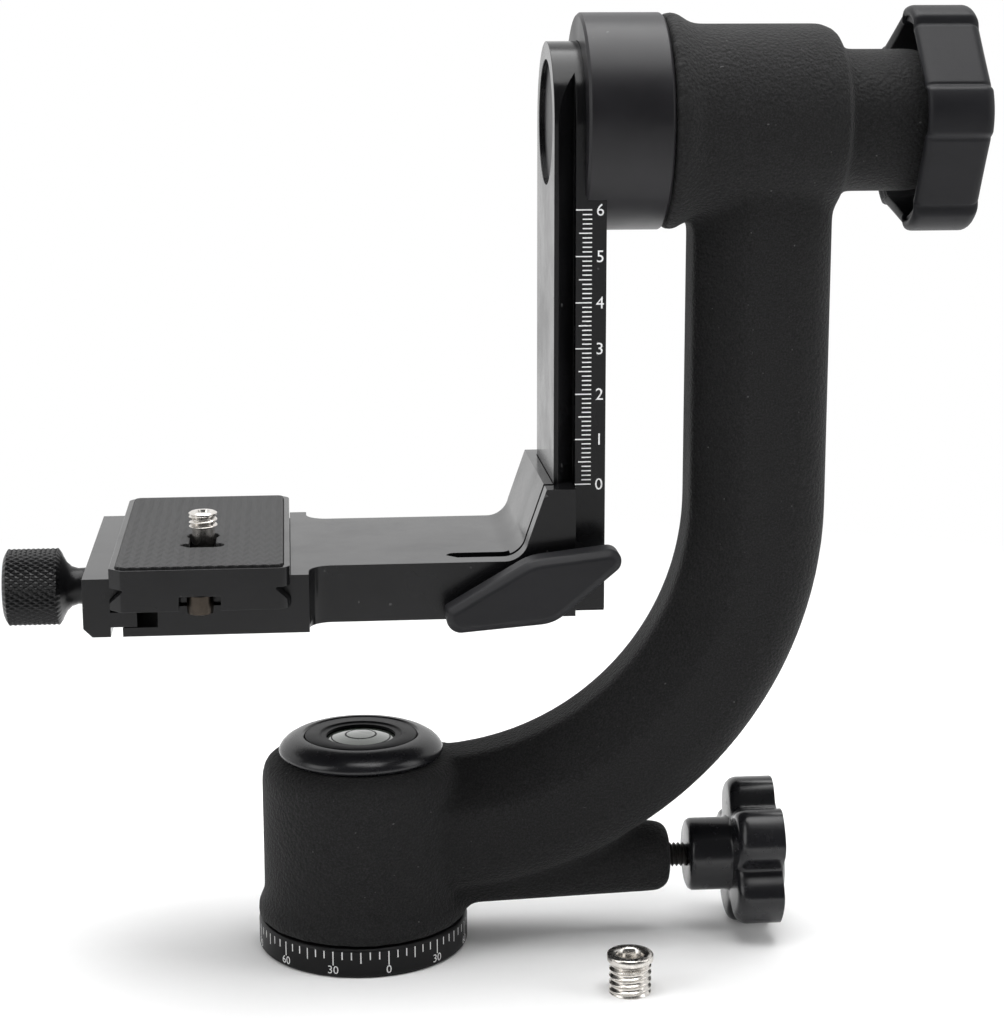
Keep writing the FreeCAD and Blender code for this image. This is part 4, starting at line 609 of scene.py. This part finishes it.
def build_reducer():
    """Nickel plated thread reducer with its thread, lip and bore."""
    low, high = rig.box("reducer_bushing")
    centre = (low + high) / 2
    height = high.z - low.z
    lip, pitch, depth = 1.4 * MM, 1.5875 * MM, 0.62 * MM
    outer, columns = 4.72 * MM, 72
    rows = np.linspace(0.0, height - lip, 110)
    profile = [(spot, outer) for spot in rows]
    profile += [(height - lip, outer + 0.42 * MM), (height - 0.2 * MM, outer + 0.45 * MM),
                (height, outer + 0.25 * MM)]
    inner = [(height, 3.3 * MM), (height - 0.5 * MM, 2.85 * MM), (0.3 * MM, 2.85 * MM), (0.0, 3.2 * MM)]
    climb = thread(pitch, depth, 0.2 * MM, height - lip - 0.2 * MM, 0.8 * MM)

    def cut(angle, spot):
        return np.where(spot < height - lip - 0.1 * MM, climb(angle, spot), 0.0)

    surface = np.concatenate([turned(profile, cut, columns), turned(inner, None, columns)], axis=0)
    surface = surface + np.array([centre.x, centre.y, low.z])
    piece = add_mesh("reducer_threaded", surface, ring_faces(len(surface), columns), "nickel", "base")
    smooth_normals(piece.data, 50.0)
    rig.replaces(piece, "reducer_bushing")


def ring_faces(rows, columns):
    """Quads of a grid that is closed in both directions."""
    faces = grid_faces(rows + 1, columns)
    return [tuple(face) for face in np.where(faces >= rows * columns, faces - rows * columns, faces)]


def arc_plate(radius, angle, half_width, low, high):
    """A small plate on a cylinder: x = r cos a, y = r sin a, four corners."""
    angles = np.array([angle - half_width, angle + half_width])
    points = np.array([(radius * math.cos(a), radius * math.sin(a), z) for z in (low, high) for a in angles])
    return points, [(0, 1, 3, 2)]


def join_plates(name, plates, material, body):
    """One flat piece from many small plates."""
    points, faces, count = [], [], 0
    for plate_points, plate_faces in plates:
        points.append(np.asarray(plate_points, float))
        faces += [tuple(int(i) + count for i in face) for face in plate_faces]
        count += len(plate_points)
    return add_mesh(name, np.concatenate(points), faces, material, body, smooth=False)


def number_shape(text, size):
    """The flat outline of a number in its own plane, middle at 0: points and faces."""
    curve = bpy.data.curves.new("number", "FONT")
    curve.body = text
    curve.size = size * 1.42
    curve.align_x = "CENTER"
    curve.align_y = "CENTER"
    curve.resolution_u = 3
    carrier = bpy.data.objects.new("number", curve)
    bpy.context.collection.objects.link(carrier)
    mesh = bpy.data.meshes.new_from_object(carrier.evaluated_get(bpy.context.evaluated_depsgraph_get()))
    points = np.array([vertex.co[:] for vertex in mesh.vertices])
    faces = [tuple(face.vertices) for face in mesh.polygons]
    bpy.data.objects.remove(carrier)
    bpy.data.curves.remove(curve)
    bpy.data.meshes.remove(mesh)
    middle = (points.min(0) + points.max(0)) / 2
    return points - middle, faces


def wrapped_number(text, radius, angle, height, size):
    """A number wrapped round a cylinder, its middle over the given height."""
    points, faces = number_shape(text, size)
    turn = angle + points[:, 0] / radius
    spots = np.stack([radius * np.cos(turn), radius * np.sin(turn), points[:, 1] + height + size / 2], axis=1)
    return spots, faces


def build_yoke():
    """The coated yoke: the solid's joints run into each other as a casting's do."""
    mesh = frame["nodes"]["yoke"].data.copy()
    work = bmesh.new()
    work.from_mesh(mesh)
    bmesh.ops.remove_doubles(work, verts=work.verts, dist=0.002 * MM)
    work.to_mesh(mesh)
    work.free()
    piece = add_piece("yoke_casting", mesh, "soft_coat", "yoke")
    remesh = piece.modifiers.new("even skin", "REMESH")
    remesh.mode = "VOXEL"
    remesh.voxel_size = 1.05 * MM
    soften = piece.modifiers.new("cast blends", "SMOOTH")
    soften.factor = 0.5
    soften.iterations = settings().coat_smoothing
    baked = bpy.data.meshes.new_from_object(piece.evaluated_get(bpy.context.evaluated_depsgraph_get()))
    piece.modifiers.clear()
    piece.data = baked
    baked.polygons.foreach_set("use_smooth", np.ones(len(baked.polygons), bool))
    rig.replaces(piece, "yoke")
    for node in ("pan_bearing_lower", "pan_bearing_upper", "tilt_bearing_inner", "tilt_bearing_outer",
                 "tilt_thrust_washer"):
        finish_node(node, "ground_steel")
    finish_node("tilt_friction_washer", "satin_plastic")
    finish_node("pan_brake_shoe", "brass")


def ring_surface(profile, material, name, columns):
    """A closed ring on the yoke about the pan axis: profile (height, radius) round its section."""
    surface = turned(profile, None, columns)
    piece = add_mesh(name, surface, ring_faces(len(surface), columns), material, "yoke")
    recalculate(piece.data)
    smooth_normals(piece.data, 40.0)
    return piece


def recalculate(mesh):
    """Turn all faces outwards."""
    work = bmesh.new()
    work.from_mesh(mesh)
    bmesh.ops.recalc_face_normals(work, faces=work.faces)
    work.to_mesh(mesh)
    work.free()


def corner(start, end, centre):
    """Points of an arc from start to end about a centre, in (height, radius)."""
    first = math.atan2(start[1] - centre[1], start[0] - centre[0])
    last = math.atan2(end[1] - centre[1], end[0] - centre[0])
    if last - first > math.pi:
        last -= 2 * math.pi
    if first - last > math.pi:
        last += 2 * math.pi
    size = math.hypot(start[0] - centre[0], start[1] - centre[1])
    angles = np.linspace(first, last, 7)
    return [(centre[0] + size * math.cos(a), centre[1] + size * math.sin(a)) for a in angles]


def build_level():
    """Domed cap, disc and bubble vial on top of the foot."""
    low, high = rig.box("level_cap")
    seat = 45.6 * MM
    top = high.z
    edge = high.x
    section = [(low.z, 12.3 * MM), (seat, 12.3 * MM), (seat, edge - 1.0 * MM)]
    section += corner((seat, edge - 0.9 * MM), (seat + 0.9 * MM, edge), (seat + 0.9 * MM, edge - 0.9 * MM))
    section += [(seat + 1.4 * MM, edge - 0.02 * MM), (seat + 2.2 * MM, edge - 0.5 * MM),
                (seat + 3.1 * MM, edge - 1.4 * MM), (seat + 3.9 * MM, edge - 2.7 * MM),
                (top - 0.18 * MM, edge - 4.0 * MM), (top, edge - 5.3 * MM), (top, 13.5 * MM),
                (top - 0.4 * MM, 13.05 * MM), (top - 1.2 * MM, 13.0 * MM), (low.z, 9.9 * MM)]
    cap = ring_surface(section, "gloss_plastic", "level_dome", 128)
    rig.replaces(cap, "level_cap")
    low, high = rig.box("level_insert")
    deck = high.z
    section = [(deck - 1.1 * MM, 12.85 * MM), (deck - 0.3 * MM, 12.85 * MM), (deck - 0.1 * MM, 12.6 * MM),
               (deck - 0.1 * MM, 9.6 * MM), (deck - 0.45 * MM, 9.3 * MM), (deck - 0.45 * MM, 8.0 * MM),
               (deck - 1.1 * MM, 8.0 * MM)]
    disc = ring_surface(section, "satin_plastic", "level_disc", 96)
    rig.replaces(disc, "level_insert")
    low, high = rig.box("level_vial")
    radius = high.x - 0.05 * MM

    def dome_height(spot):
        """Height of the vial's dome: a parabola over the radius."""
        return high.z - 1.25 * MM + 1.2 * MM * (1 - (spot / radius) ** 2)

    spread = np.linspace(radius, 0.2 * MM, 12)
    dome = [(low.z, radius)] + [(dome_height(spot), spot) for spot in spread]
    vial = shell("level_glass", turned(dome, None, 72), "vial_liquid", "yoke", 40.0)
    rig.replaces(vial, "level_vial")
    for name, inner, wide, rise in (("level_target", 3.3, 0.42, 0.03), ("level_rim_line", 6.6, 0.3, 0.02)):
        heights = [dome_height((inner + part) * MM) for part in (0.0, wide)]
        section = [(heights[0] - 0.1 * MM, inner * MM), (heights[1] - 0.1 * MM, (inner + wide) * MM),
                   (heights[1] + rise * MM, (inner + wide) * MM), (heights[0] + rise * MM, inner * MM)]
        ring_surface(section, "satin_plastic", name, 64)
    size = 2.4 * MM
    bubble = [(high.z - 0.7 * MM, size)]
    bubble += [(high.z - 0.3 * MM + 0.26 * MM * math.sqrt(1 - (spot / size) ** 2), spot)
               for spot in np.linspace(size, 0.1 * MM, 9)]
    surface = turned(bubble, None, 48) + np.array([0.6 * MM, 0.8 * MM, 0.0])
    shell("level_bubble", surface, "vial_liquid", "yoke")


def along_x(surface, centre):
    """Stand a surface made round +Z along +X: (x, y, z) becomes (z, y, -x)."""
    turned_points = np.stack([surface[..., 2], surface[..., 1], -surface[..., 0]], axis=-1)
    return turned_points + np.asarray(centre)


def row_surface(rows, angle):
    """Rows (radius at each angle, height) round +Z: x = r cos a, y = r sin a, z = height."""
    radius = np.array([row[0] for row in rows])
    height = np.array([np.full(len(angle), row[1]) for row in rows])
    return np.stack([radius * np.cos(angle), radius * np.sin(angle), height], axis=-1)


def lobed_radius(angle, tip, valley, power, phase):
    """Radius of a lobed outline: valley to tip by a raised cosine."""
    wave = 0.5 + 0.5 * np.cos(LOBES * (angle - phase))
    return valley + (tip - valley) * (1.0 - (1.0 - wave) ** power)


def build_pan_lock():
    """Glossy star knob, its hub and the threaded stud."""
    axis = (0.0, 0.0, STUD_Z)
    columns, rim = 200, 3.0 * MM
    crown, wide_rim = 2.6 * MM, rim + 0.4 * MM
    angle = np.linspace(0.0, 2 * math.pi, columns, endpoint=False)
    outline = lobed_radius(angle, 17.85 * MM, 12.7 * MM, 2.6, math.radians(18.0))
    # from the hub over the rim: distance in from the outline, and place along the axis
    left, right = 86.2 * MM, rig.box("pan_knob")[1].x
    turn = np.linspace(0.0, math.pi / 2, 7)
    insets = list(rim - rim * np.sin(turn)) + list(wide_rim * (1 - np.cos(turn)))
    places = list(left + rim * 0.9 * (1 - np.cos(turn)))
    places += list(right - crown - wide_rim * (1 - np.sin(turn[::-1])))
    hub = [(76.2, 3.4), (76.2, 7.3), (76.5, 8.0), (77.3, 8.5), (85.4, 8.5), (86.0, 8.9)]
    rows = [(np.full(columns, size * MM), place * MM) for place, size in hub]
    rows += [(outline - inset, place) for inset, place in zip(insets, places)]
    rows += [((outline - wide_rim) * part, right - crown * part ** 2) for part in np.linspace(0.95, 0.02, 9)]
    surface = row_surface(rows, angle)
    knob = shell("pan_star", along_x(surface, axis), "gloss_plastic", "pan_lock", 48.0)
    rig.replaces(knob, "pan_knob")
    start, end = 60.0 * MM, 86.0 * MM
    profile = [(spot, 2.85 * MM) for spot in np.linspace(start, end, 210)]
    surface = turned(profile, thread(1.0 * MM, 0.5 * MM, 66.0 * MM, end, 0.5 * MM), 48)
    stud = shell("pan_stud_thread", along_x(surface, axis), "black_steel", "pan_lock")
    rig.replaces(stud, "pan_knob_stud")


def build_cradle():
    """Tilt drum, rail, the printed height scale and the parts in the rail's recess."""
    eased("tilt_drum", "anodised_turned", 0.3 * MM)
    eased("rail", "anodised_rail", 0.3 * MM)
    eased("axle_cap", "anodised_turned", 0.12 * MM)
    finish_node("tilt_axle", "ground_steel")
    finish_node("axle_bolt", "black_steel")
    finish_node("drum_screws", "black_steel")
    face = RAIL_FRONT_Y - INK_OFFSET
    right = 50.8 * MM
    ticks, labels = [], []
    for number in range(RAIL_TICKS):
        long_tick = number % 10 == 0
        left = (47.3 if long_tick else 48.0 if number % 5 == 0 else 48.75) * MM
        height = (RAIL_ZERO + number) * MM
        points = [(left, face, height - TICK_HALF), (right, face, height - TICK_HALF),
                  (right, face, height + TICK_HALF), (left, face, height + TICK_HALF)]
        ticks.append((np.array(points), [(0, 1, 2, 3)]))
        if long_tick:
            outline, faces = number_shape(str(number // 10), 2.6 * MM)
            spots = np.stack([outline[:, 0] + 52.6 * MM, np.full(len(outline), face),
                              outline[:, 1] + height], axis=1)
            labels.append((spots, faces))
    join_plates("rail_ticks", ticks, "scale_ink", "cradle")
    join_plates("rail_numbers", labels, "scale_ink", "cradle")


def grip_radius(angle, phase):
    """Outline of the tilt knob: raised lobes, a fine crease, then flats at one distance."""
    step = 2 * math.pi / LOBES
    away = np.degrees(np.abs((angle - phase + step / 2) % step - step / 2))
    flat = 21.8 * MM / np.cos(np.radians(36.0 - away))
    lobe = 25.3 * MM - 0.5 * MM * (away / 11.0) ** 2
    share = np.clip((away - 10.5) / 3.6, 0.0, 1.0)
    share = share * share * (3.0 - 2.0 * share)
    crease = 0.28 * MM * np.exp(-((away - 14.4) / 0.8) ** 2)
    return lobe * (1.0 - share) + flat * share - crease


def build_tilt_lock():
    """Hollow lobed knob on the neck: rounded rim, domed face, a hub inside, and its insert."""
    low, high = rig.box("tilt_knob")
    left, right = low.x, high.x
    columns = 480
    angle = np.linspace(0.0, 2 * math.pi, columns, endpoint=False)
    outline = grip_radius(angle, math.radians(-97.0))
    plain = np.minimum(outline, 24.0 * MM)
    wall, dome = 2.5 * MM, 1.2 * MM
    floor = right - 3.4 * MM
    turn = np.linspace(0.0, math.pi / 2, 8)
    rows = [(np.full(columns, size * MM), place) for size, place in (
        (6.55, floor - 0.2 * MM), (6.55, 127.7 * MM), (6.9, 127.62 * MM), (9.1, 127.62 * MM),
        (9.5, 127.9 * MM), (9.7, floor - 0.8 * MM), (10.5, floor), (15.5, floor))]
    rows.append((plain - wall - 3.0 * MM, floor - 1.0 * MM))
    rows.append((plain - wall - 0.6 * MM, floor - 3.2 * MM))
    rows.append((plain - wall, floor - 5.0 * MM))
    rows.append((plain - wall + 0.1 * MM, left + 0.9 * MM))
    rows += [(outline - wall / 2 - (wall / 2 - 0.1 * MM) * math.cos(a), left + 0.9 * MM * (1 - math.sin(a)))
             for a in turn]
    rows += [(outline - 1.3 * MM + 1.3 * MM * math.sin(a), left + 1.8 * MM * (1 - math.cos(a))) for a in turn]
    rows += [(outline, x) for x in np.linspace(left + 3.0 * MM, right - dome - 2.8 * MM, 6)]
    soft, crown = 2.4 * MM, 17.0 * MM
    rows += [(outline - soft * (1 - math.cos(a)), right - dome - soft * (1 - math.sin(a))) for a in turn]
    edge = outline - soft
    blend = np.linspace(0.0, 1.0, 9)[1:]
    rows += [(edge * (1 - share) + crown * share, right - dome + dome * 0.52 * share ** 0.8)
             for share in blend]
    rows += [(np.full(columns, crown * share), right - dome * 0.48 * share ** 1.7)
             for share in np.linspace(0.9, 0.02, 9)]
    surface = along_x(row_surface(rows, angle), (0.0, 0.0, TILT_Z))
    knob = shell("lobed_grip", surface, "satin_plastic", "tilt_lock", 55.0)
    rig.replaces(knob, "tilt_knob")
    finish_node("tilt_knob_insert", "brass")


def build_bracket():
    """Bracket with its jaws, release plate, rubber and stop screws."""
    eased("bracket", "anodised_bracket", settings().edge_width)
    eased("release_plate", "anodised_bracket", 0.3 * MM)
    eased("rubber_pad", "ribbed_rubber", 0.2 * MM)
    low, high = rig.box("stop_screws")
    stops = []
    for side in (-1.0, 1.0):
        profile = [(low.z, 1.9 * MM), (low.z + 0.35 * MM, 2.7 * MM), (low.z + 1.1 * MM, 2.8 * MM),
                   (high.z - 0.05 * MM, 2.8 * MM)]
        surface = turned(profile, None, 48) + np.array([PLATE_X, side * STOP_SCREW_Y, 0.0])
        stops.append(closed_grid(surface))
    piece = join_plates("stop_pins", stops, "brown_steel", "bracket")
    recalculate(piece.data)
    smooth_normals(piece.data, 35.0)
    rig.replaces(piece, "stop_screws")


def build_lever():
    """Rail lever and the screw that is moulded into it from behind."""
    eased("clamp_lever", "lever_plastic", 0.6 * MM, 3, 24.0)
    finish_node("lever_screw", "black_steel")


def build_jaw():
    """Moving jaw, and the knurled knob with its screw."""
    eased("moving_jaw", "anodised_bracket", settings().edge_width)
    finish_node("clamp_screw", "ground_steel")
    low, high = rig.box("clamp_knob")
    start, end = low.x, high.x
    body_end = start + 12.9 * MM
    depth = settings().knurl_depth
    outer = 8.68 * MM
    edge, count, lead = 0.9 * MM, 40, 1.55 * MM / 0.72
    neck = [(-0.2, 7.6), (0.1, 6.9), (0.9, 5.5), (2.0, 4.5), (3.4, 4.05), (4.8, 4.1), (5.8, 4.35)]
    profile = [(start, 0.3 * MM), (start, 6.9 * MM), (start + 0.25 * MM, 7.5 * MM)]
    profile += [(spot, outer) for spot in np.linspace(start + edge, body_end - edge, 70)]
    profile += [(body_end + place * MM, size * MM) for place, size in neck] + [(end, 4.4 * MM)]

    def diamonds(angle, spot):
        """Two crossed families of grooves, deepest where their flanks meet."""
        climb = (spot - start) / lead
        turns = angle * count / (2 * math.pi)
        ridges = np.minimum(triangle_wave(turns + climb), triangle_wave(turns - climb))
        inside = (spot > start + edge - 0.1 * MM) & (spot < body_end - edge + 0.1 * MM)
        return np.where(inside, -depth * (1.0 - ridges) * 1.3, 0.0)

    surface = along_x(turned(profile, diamonds, 408), (0.0, 0.0, CLAMP_SCREW_Z))
    knob = shell("knurled_knob", surface, "anodised_knurl", "jaw_knob", 30.0)
    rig.replaces(knob, "clamp_knob")


def build_camera_screw():
    """Quarter inch screw: a flat head, a smooth neck and a real thread at the top."""
    low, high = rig.box("camera_screw")
    neck = low.z + 2.6 * MM
    thread_low = high.z - 3.3 * MM
    rows = np.linspace(thread_low, high.z - 0.35 * MM, 100)
    profile = [(low.z, 7.2 * MM), (low.z + 0.3 * MM, 7.45 * MM), (neck - 0.2 * MM, 7.45 * MM),
               (neck, 7.2 * MM), (neck, 2.5 * MM), (thread_low - 0.3 * MM, 2.5 * MM)]
    profile += [(spot, 3.15 * MM) for spot in rows]
    profile += [(high.z - 0.05 * MM, 2.7 * MM), (high.z, 2.3 * MM), (high.z, 1.5 * MM),
                (high.z - 0.6 * MM, 1.3 * MM)]
    climb = thread(1.27 * MM, 0.5 * MM, thread_low, high.z - 0.5 * MM, 0.3 * MM)

    def cut(angle, spot):
        return np.where((spot > thread_low - 0.1 * MM) & (spot < high.z - 0.3 * MM), climb(angle, spot), 0.0)

    surface = turned(profile, cut, 64) + np.array([PLATE_X, CAMERA_SCREW_Y, 0.0])
    screw = shell("camera_screw_thread", surface, "nickel", "camera_screw", 50.0)
    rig.replaces(screw, "camera_screw")


def build_stage():
    """Pale floor, white surround, soft lamps and the camera of the photograph."""
    floor = Finish("floor_paper")
    grain = floor.noise(240.0, 2.0)
    paper = floor.node("ShaderNodeBsdfDiffuse", None, {
        "Color": floor.blend(grain, (0.96, 0.96, 0.96), (0.98, 0.98, 0.98)), "Roughness": 0.5})
    glow = floor.node("ShaderNodeEmission", None, {"Color": (1.0, 1.0, 1.0, 1.0), "Strength": 1.0})
    path = {name: floor.node("ShaderNodeLightPath", output=name)
            for name in ("Is Camera Ray", "Is Glossy Ray", "Is Transmission Ray")}
    seen = path["Is Camera Ray"] + path["Is Glossy Ray"] + path["Is Transmission Ray"]
    from_middle = floor.node("ShaderNodeVectorMath", {"operation": "SUBTRACT"}, {
        0: floor.place, 1: (0.02, 0.0, 0.0)})
    reach = floor.node("ShaderNodeVectorMath", {"operation": "LENGTH"}, {0: from_middle}, output="Value")
    far = floor.ramp(reach, 0.13, 0.46)
    mixed = floor.node("ShaderNodeMixShader", None, {0: seen * far, 1: paper, 2: glow})
    floor.node_output(mixed)
    size = 9.0
    mesh = bpy.data.meshes.new("floor")
    corners = [(-size, -size, 0), (size, -size, 0), (size, size, 0), (-size, size, 0)]
    mesh.from_pydata(corners, [], [(0, 1, 2, 3)])
    ground = bpy.data.objects.new("floor", mesh)
    mesh.materials.append(floor.material)
    bpy.context.collection.objects.link(ground)
    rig.stage(ground)

    world = bpy.data.worlds.new("surround")
    bpy.context.scene.world = world
    world.use_nodes = True
    nodes, links = world.node_tree.nodes, world.node_tree.links
    nodes.clear()
    path = nodes.new("ShaderNodeLightPath")
    seen = nodes.new("ShaderNodeMath")
    seen.operation = "MAXIMUM"
    links.new(path.outputs["Is Camera Ray"], seen.inputs[0])
    links.new(path.outputs["Is Transmission Ray"], seen.inputs[1])
    # behind the object the surround is white, in front of it the studio is dim
    where = nodes.new("ShaderNodeTexCoord")
    split = nodes.new("ShaderNodeSeparateXYZ")
    links.new(where.outputs["Generated"], split.inputs[0])
    depth = nodes.new("ShaderNodeMapRange")
    depth.interpolation_type = "SMOOTHSTEP"
    links.new(split.outputs["Y"], depth.inputs["Value"])
    for name, number in (("From Min", -0.35), ("From Max", 0.45), ("To Min", 0.08), ("To Max", 1.0)):
        depth.inputs[name].default_value = number
    level = nodes.new("ShaderNodeMath")
    level.operation = "MAXIMUM"
    links.new(seen.outputs[0], level.inputs[0])
    links.new(depth.outputs[0], level.inputs[1])
    back = nodes.new("ShaderNodeBackground")
    back.inputs["Color"].default_value = (1.0, 1.0, 1.0, 1.0)
    links.new(level.outputs[0], back.inputs["Strength"])
    end = nodes.new("ShaderNodeOutputWorld")
    links.new(back.outputs[0], end.inputs["Surface"])

    for name, place, target, wide, tall, power in (
            ("top_softbox", (0.05, 0.05, 0.95), (0.03, 0.0, 0.1), 0.9, 0.9, 13.0),
            ("left_softbox", (-0.85, -0.35, 0.55), (0.03, 0.0, 0.1), 0.5, 0.8, 3.2),
            ("right_softbox", (0.9, -0.25, 0.5), (0.05, 0.0, 0.1), 0.4, 0.8, 2.0)):
        lamp = bpy.data.lights.new(name, "AREA")
        lamp.shape = "RECTANGLE"
        lamp.size, lamp.size_y, lamp.energy = wide, tall, power
        carrier = bpy.data.objects.new(name, lamp)
        bpy.context.collection.objects.link(carrier)
        aim = np.array(place) - np.array(target)
        carrier.matrix_world = look_matrix(place, -aim, 0.0)

    camera = bpy.data.cameras.new("camera")
    camera.sensor_width = 36.0
    camera.sensor_fit = "AUTO"
    camera.lens = 2349.1 * 36.0 / 1024.0
    camera.clip_start, camera.clip_end = 0.01, 60.0
    carrier = bpy.data.objects.new("camera", camera)
    bpy.context.collection.objects.link(carrier)
    yaw, pitch, roll = 0.0900, 0.211, -0.002
    forward = (math.sin(yaw) * math.cos(pitch), math.cos(yaw) * math.cos(pitch), -math.sin(pitch))
    carrier.matrix_world = look_matrix((-14.119 * MM, -519.98 * MM, 213.39 * MM), forward, roll)
    bpy.context.scene.camera = carrier
    bpy.context.scene.view_settings.view_transform = "Standard"


def look_matrix(place, forward, roll):
    """A matrix whose -Z looks forward and whose +Y is up, turned by the roll."""
    forward = np.array(forward, float) / np.linalg.norm(forward)
    side = np.cross(forward, (0.0, 0.0, 1.0))
    side = side / np.linalg.norm(side) if np.linalg.norm(side) > 1e-6 else np.array([1.0, 0.0, 0.0])
    up = np.cross(side, forward)
    right = side * math.cos(roll) + up * math.sin(roll)
    top = up * math.cos(roll) - side * math.sin(roll)
    matrix = Matrix.Identity(4)
    for row in range(3):
        matrix[row] = (right[row], top[row], -forward[row], place[row])
    return matrix


STEPS = [
    ("base", "Pan base", "Dress the pan base, its scale and the loose reducer", "build_base"),
    ("yoke", "Yoke", "Dress the coated yoke and what is in it", "build_yoke"),
    ("level", "Level", "Build the domed cap, the disc and the vial", "build_level"),
    ("pan_lock", "Pan lock", "Build the star knob and its stud", "build_pan_lock"),
    ("cradle", "Cradle", "Dress the drum and the rail with its scale", "build_cradle"),
    ("tilt_lock", "Tilt lock", "Dress the lobed tilt knob", "build_tilt_lock"),
    ("bracket", "Bracket", "Dress the bracket, the plate and its rubber", "build_bracket"),
    ("lever", "Rail lever", "Dress the rail lever", "build_lever"),
    ("jaw", "Moving jaw", "Dress the jaw and build its knurled knob", "build_jaw"),
    ("screw", "Camera screw", "Build the threaded camera screw", "build_camera_screw"),
    ("stage", "Stage", "Set up the floor, the lamps and the camera", "build_stage"),
]


class StepOperator(bpy.types.Operator):
    """Shared body of the building steps: run the step and report failure as an error"""

    bl_options = {"REGISTER", "UNDO"}
    work = None

    def execute(self, context):
        if not MATERIALS:
            make_materials()
        self.work()
        return {"FINISHED"}


def make_step(key, label, summary, function):
    """One operator class for one step of the table."""
    return type("GIMBAL_OT_" + key, (StepOperator,), {
        "bl_idname": "gimbal." + key,
        "bl_label": label,
        "__doc__": summary,
        "work": staticmethod(globals()[function]),
    })


class GimbalPanel(bpy.types.Panel):
    """Lists the sizes, the colours and the building steps"""

    bl_idname = "VIEW3D_PT_gimbal"
    bl_label = "Gimbal head"
    bl_space_type = "VIEW_3D"
    bl_region_type = "UI"
    bl_category = "Gimbal"

    def draw(self, context):
        for name in HeadSettings.__annotations__:
            self.layout.prop(context.scene.gimbal_head, name)
        for key, label, *about in STEPS:
            self.layout.operator("gimbal." + key, text=label)


STEP_CLASSES = [make_step(*step) for step in STEPS]
CLASSES = [HeadSettings, *STEP_CLASSES, GimbalPanel]


def register():
    for item in CLASSES:
        bpy.utils.register_class(item)
    bpy.types.Scene.gimbal_head = bpy.props.PointerProperty(type=HeadSettings)


def unregister():
    del bpy.types.Scene.gimbal_head
    for item in reversed(CLASSES):
        bpy.utils.unregister_class(item)


def main():
    register()
    for key, *about in STEPS:
        getattr(bpy.ops.gimbal, key)()
    with open("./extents.json", "w") as report:
        json.dump({"cad": CAD_BOX, "visual": [list(spot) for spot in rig.bounds()]}, report)


if __name__ == "__main__":
    main()
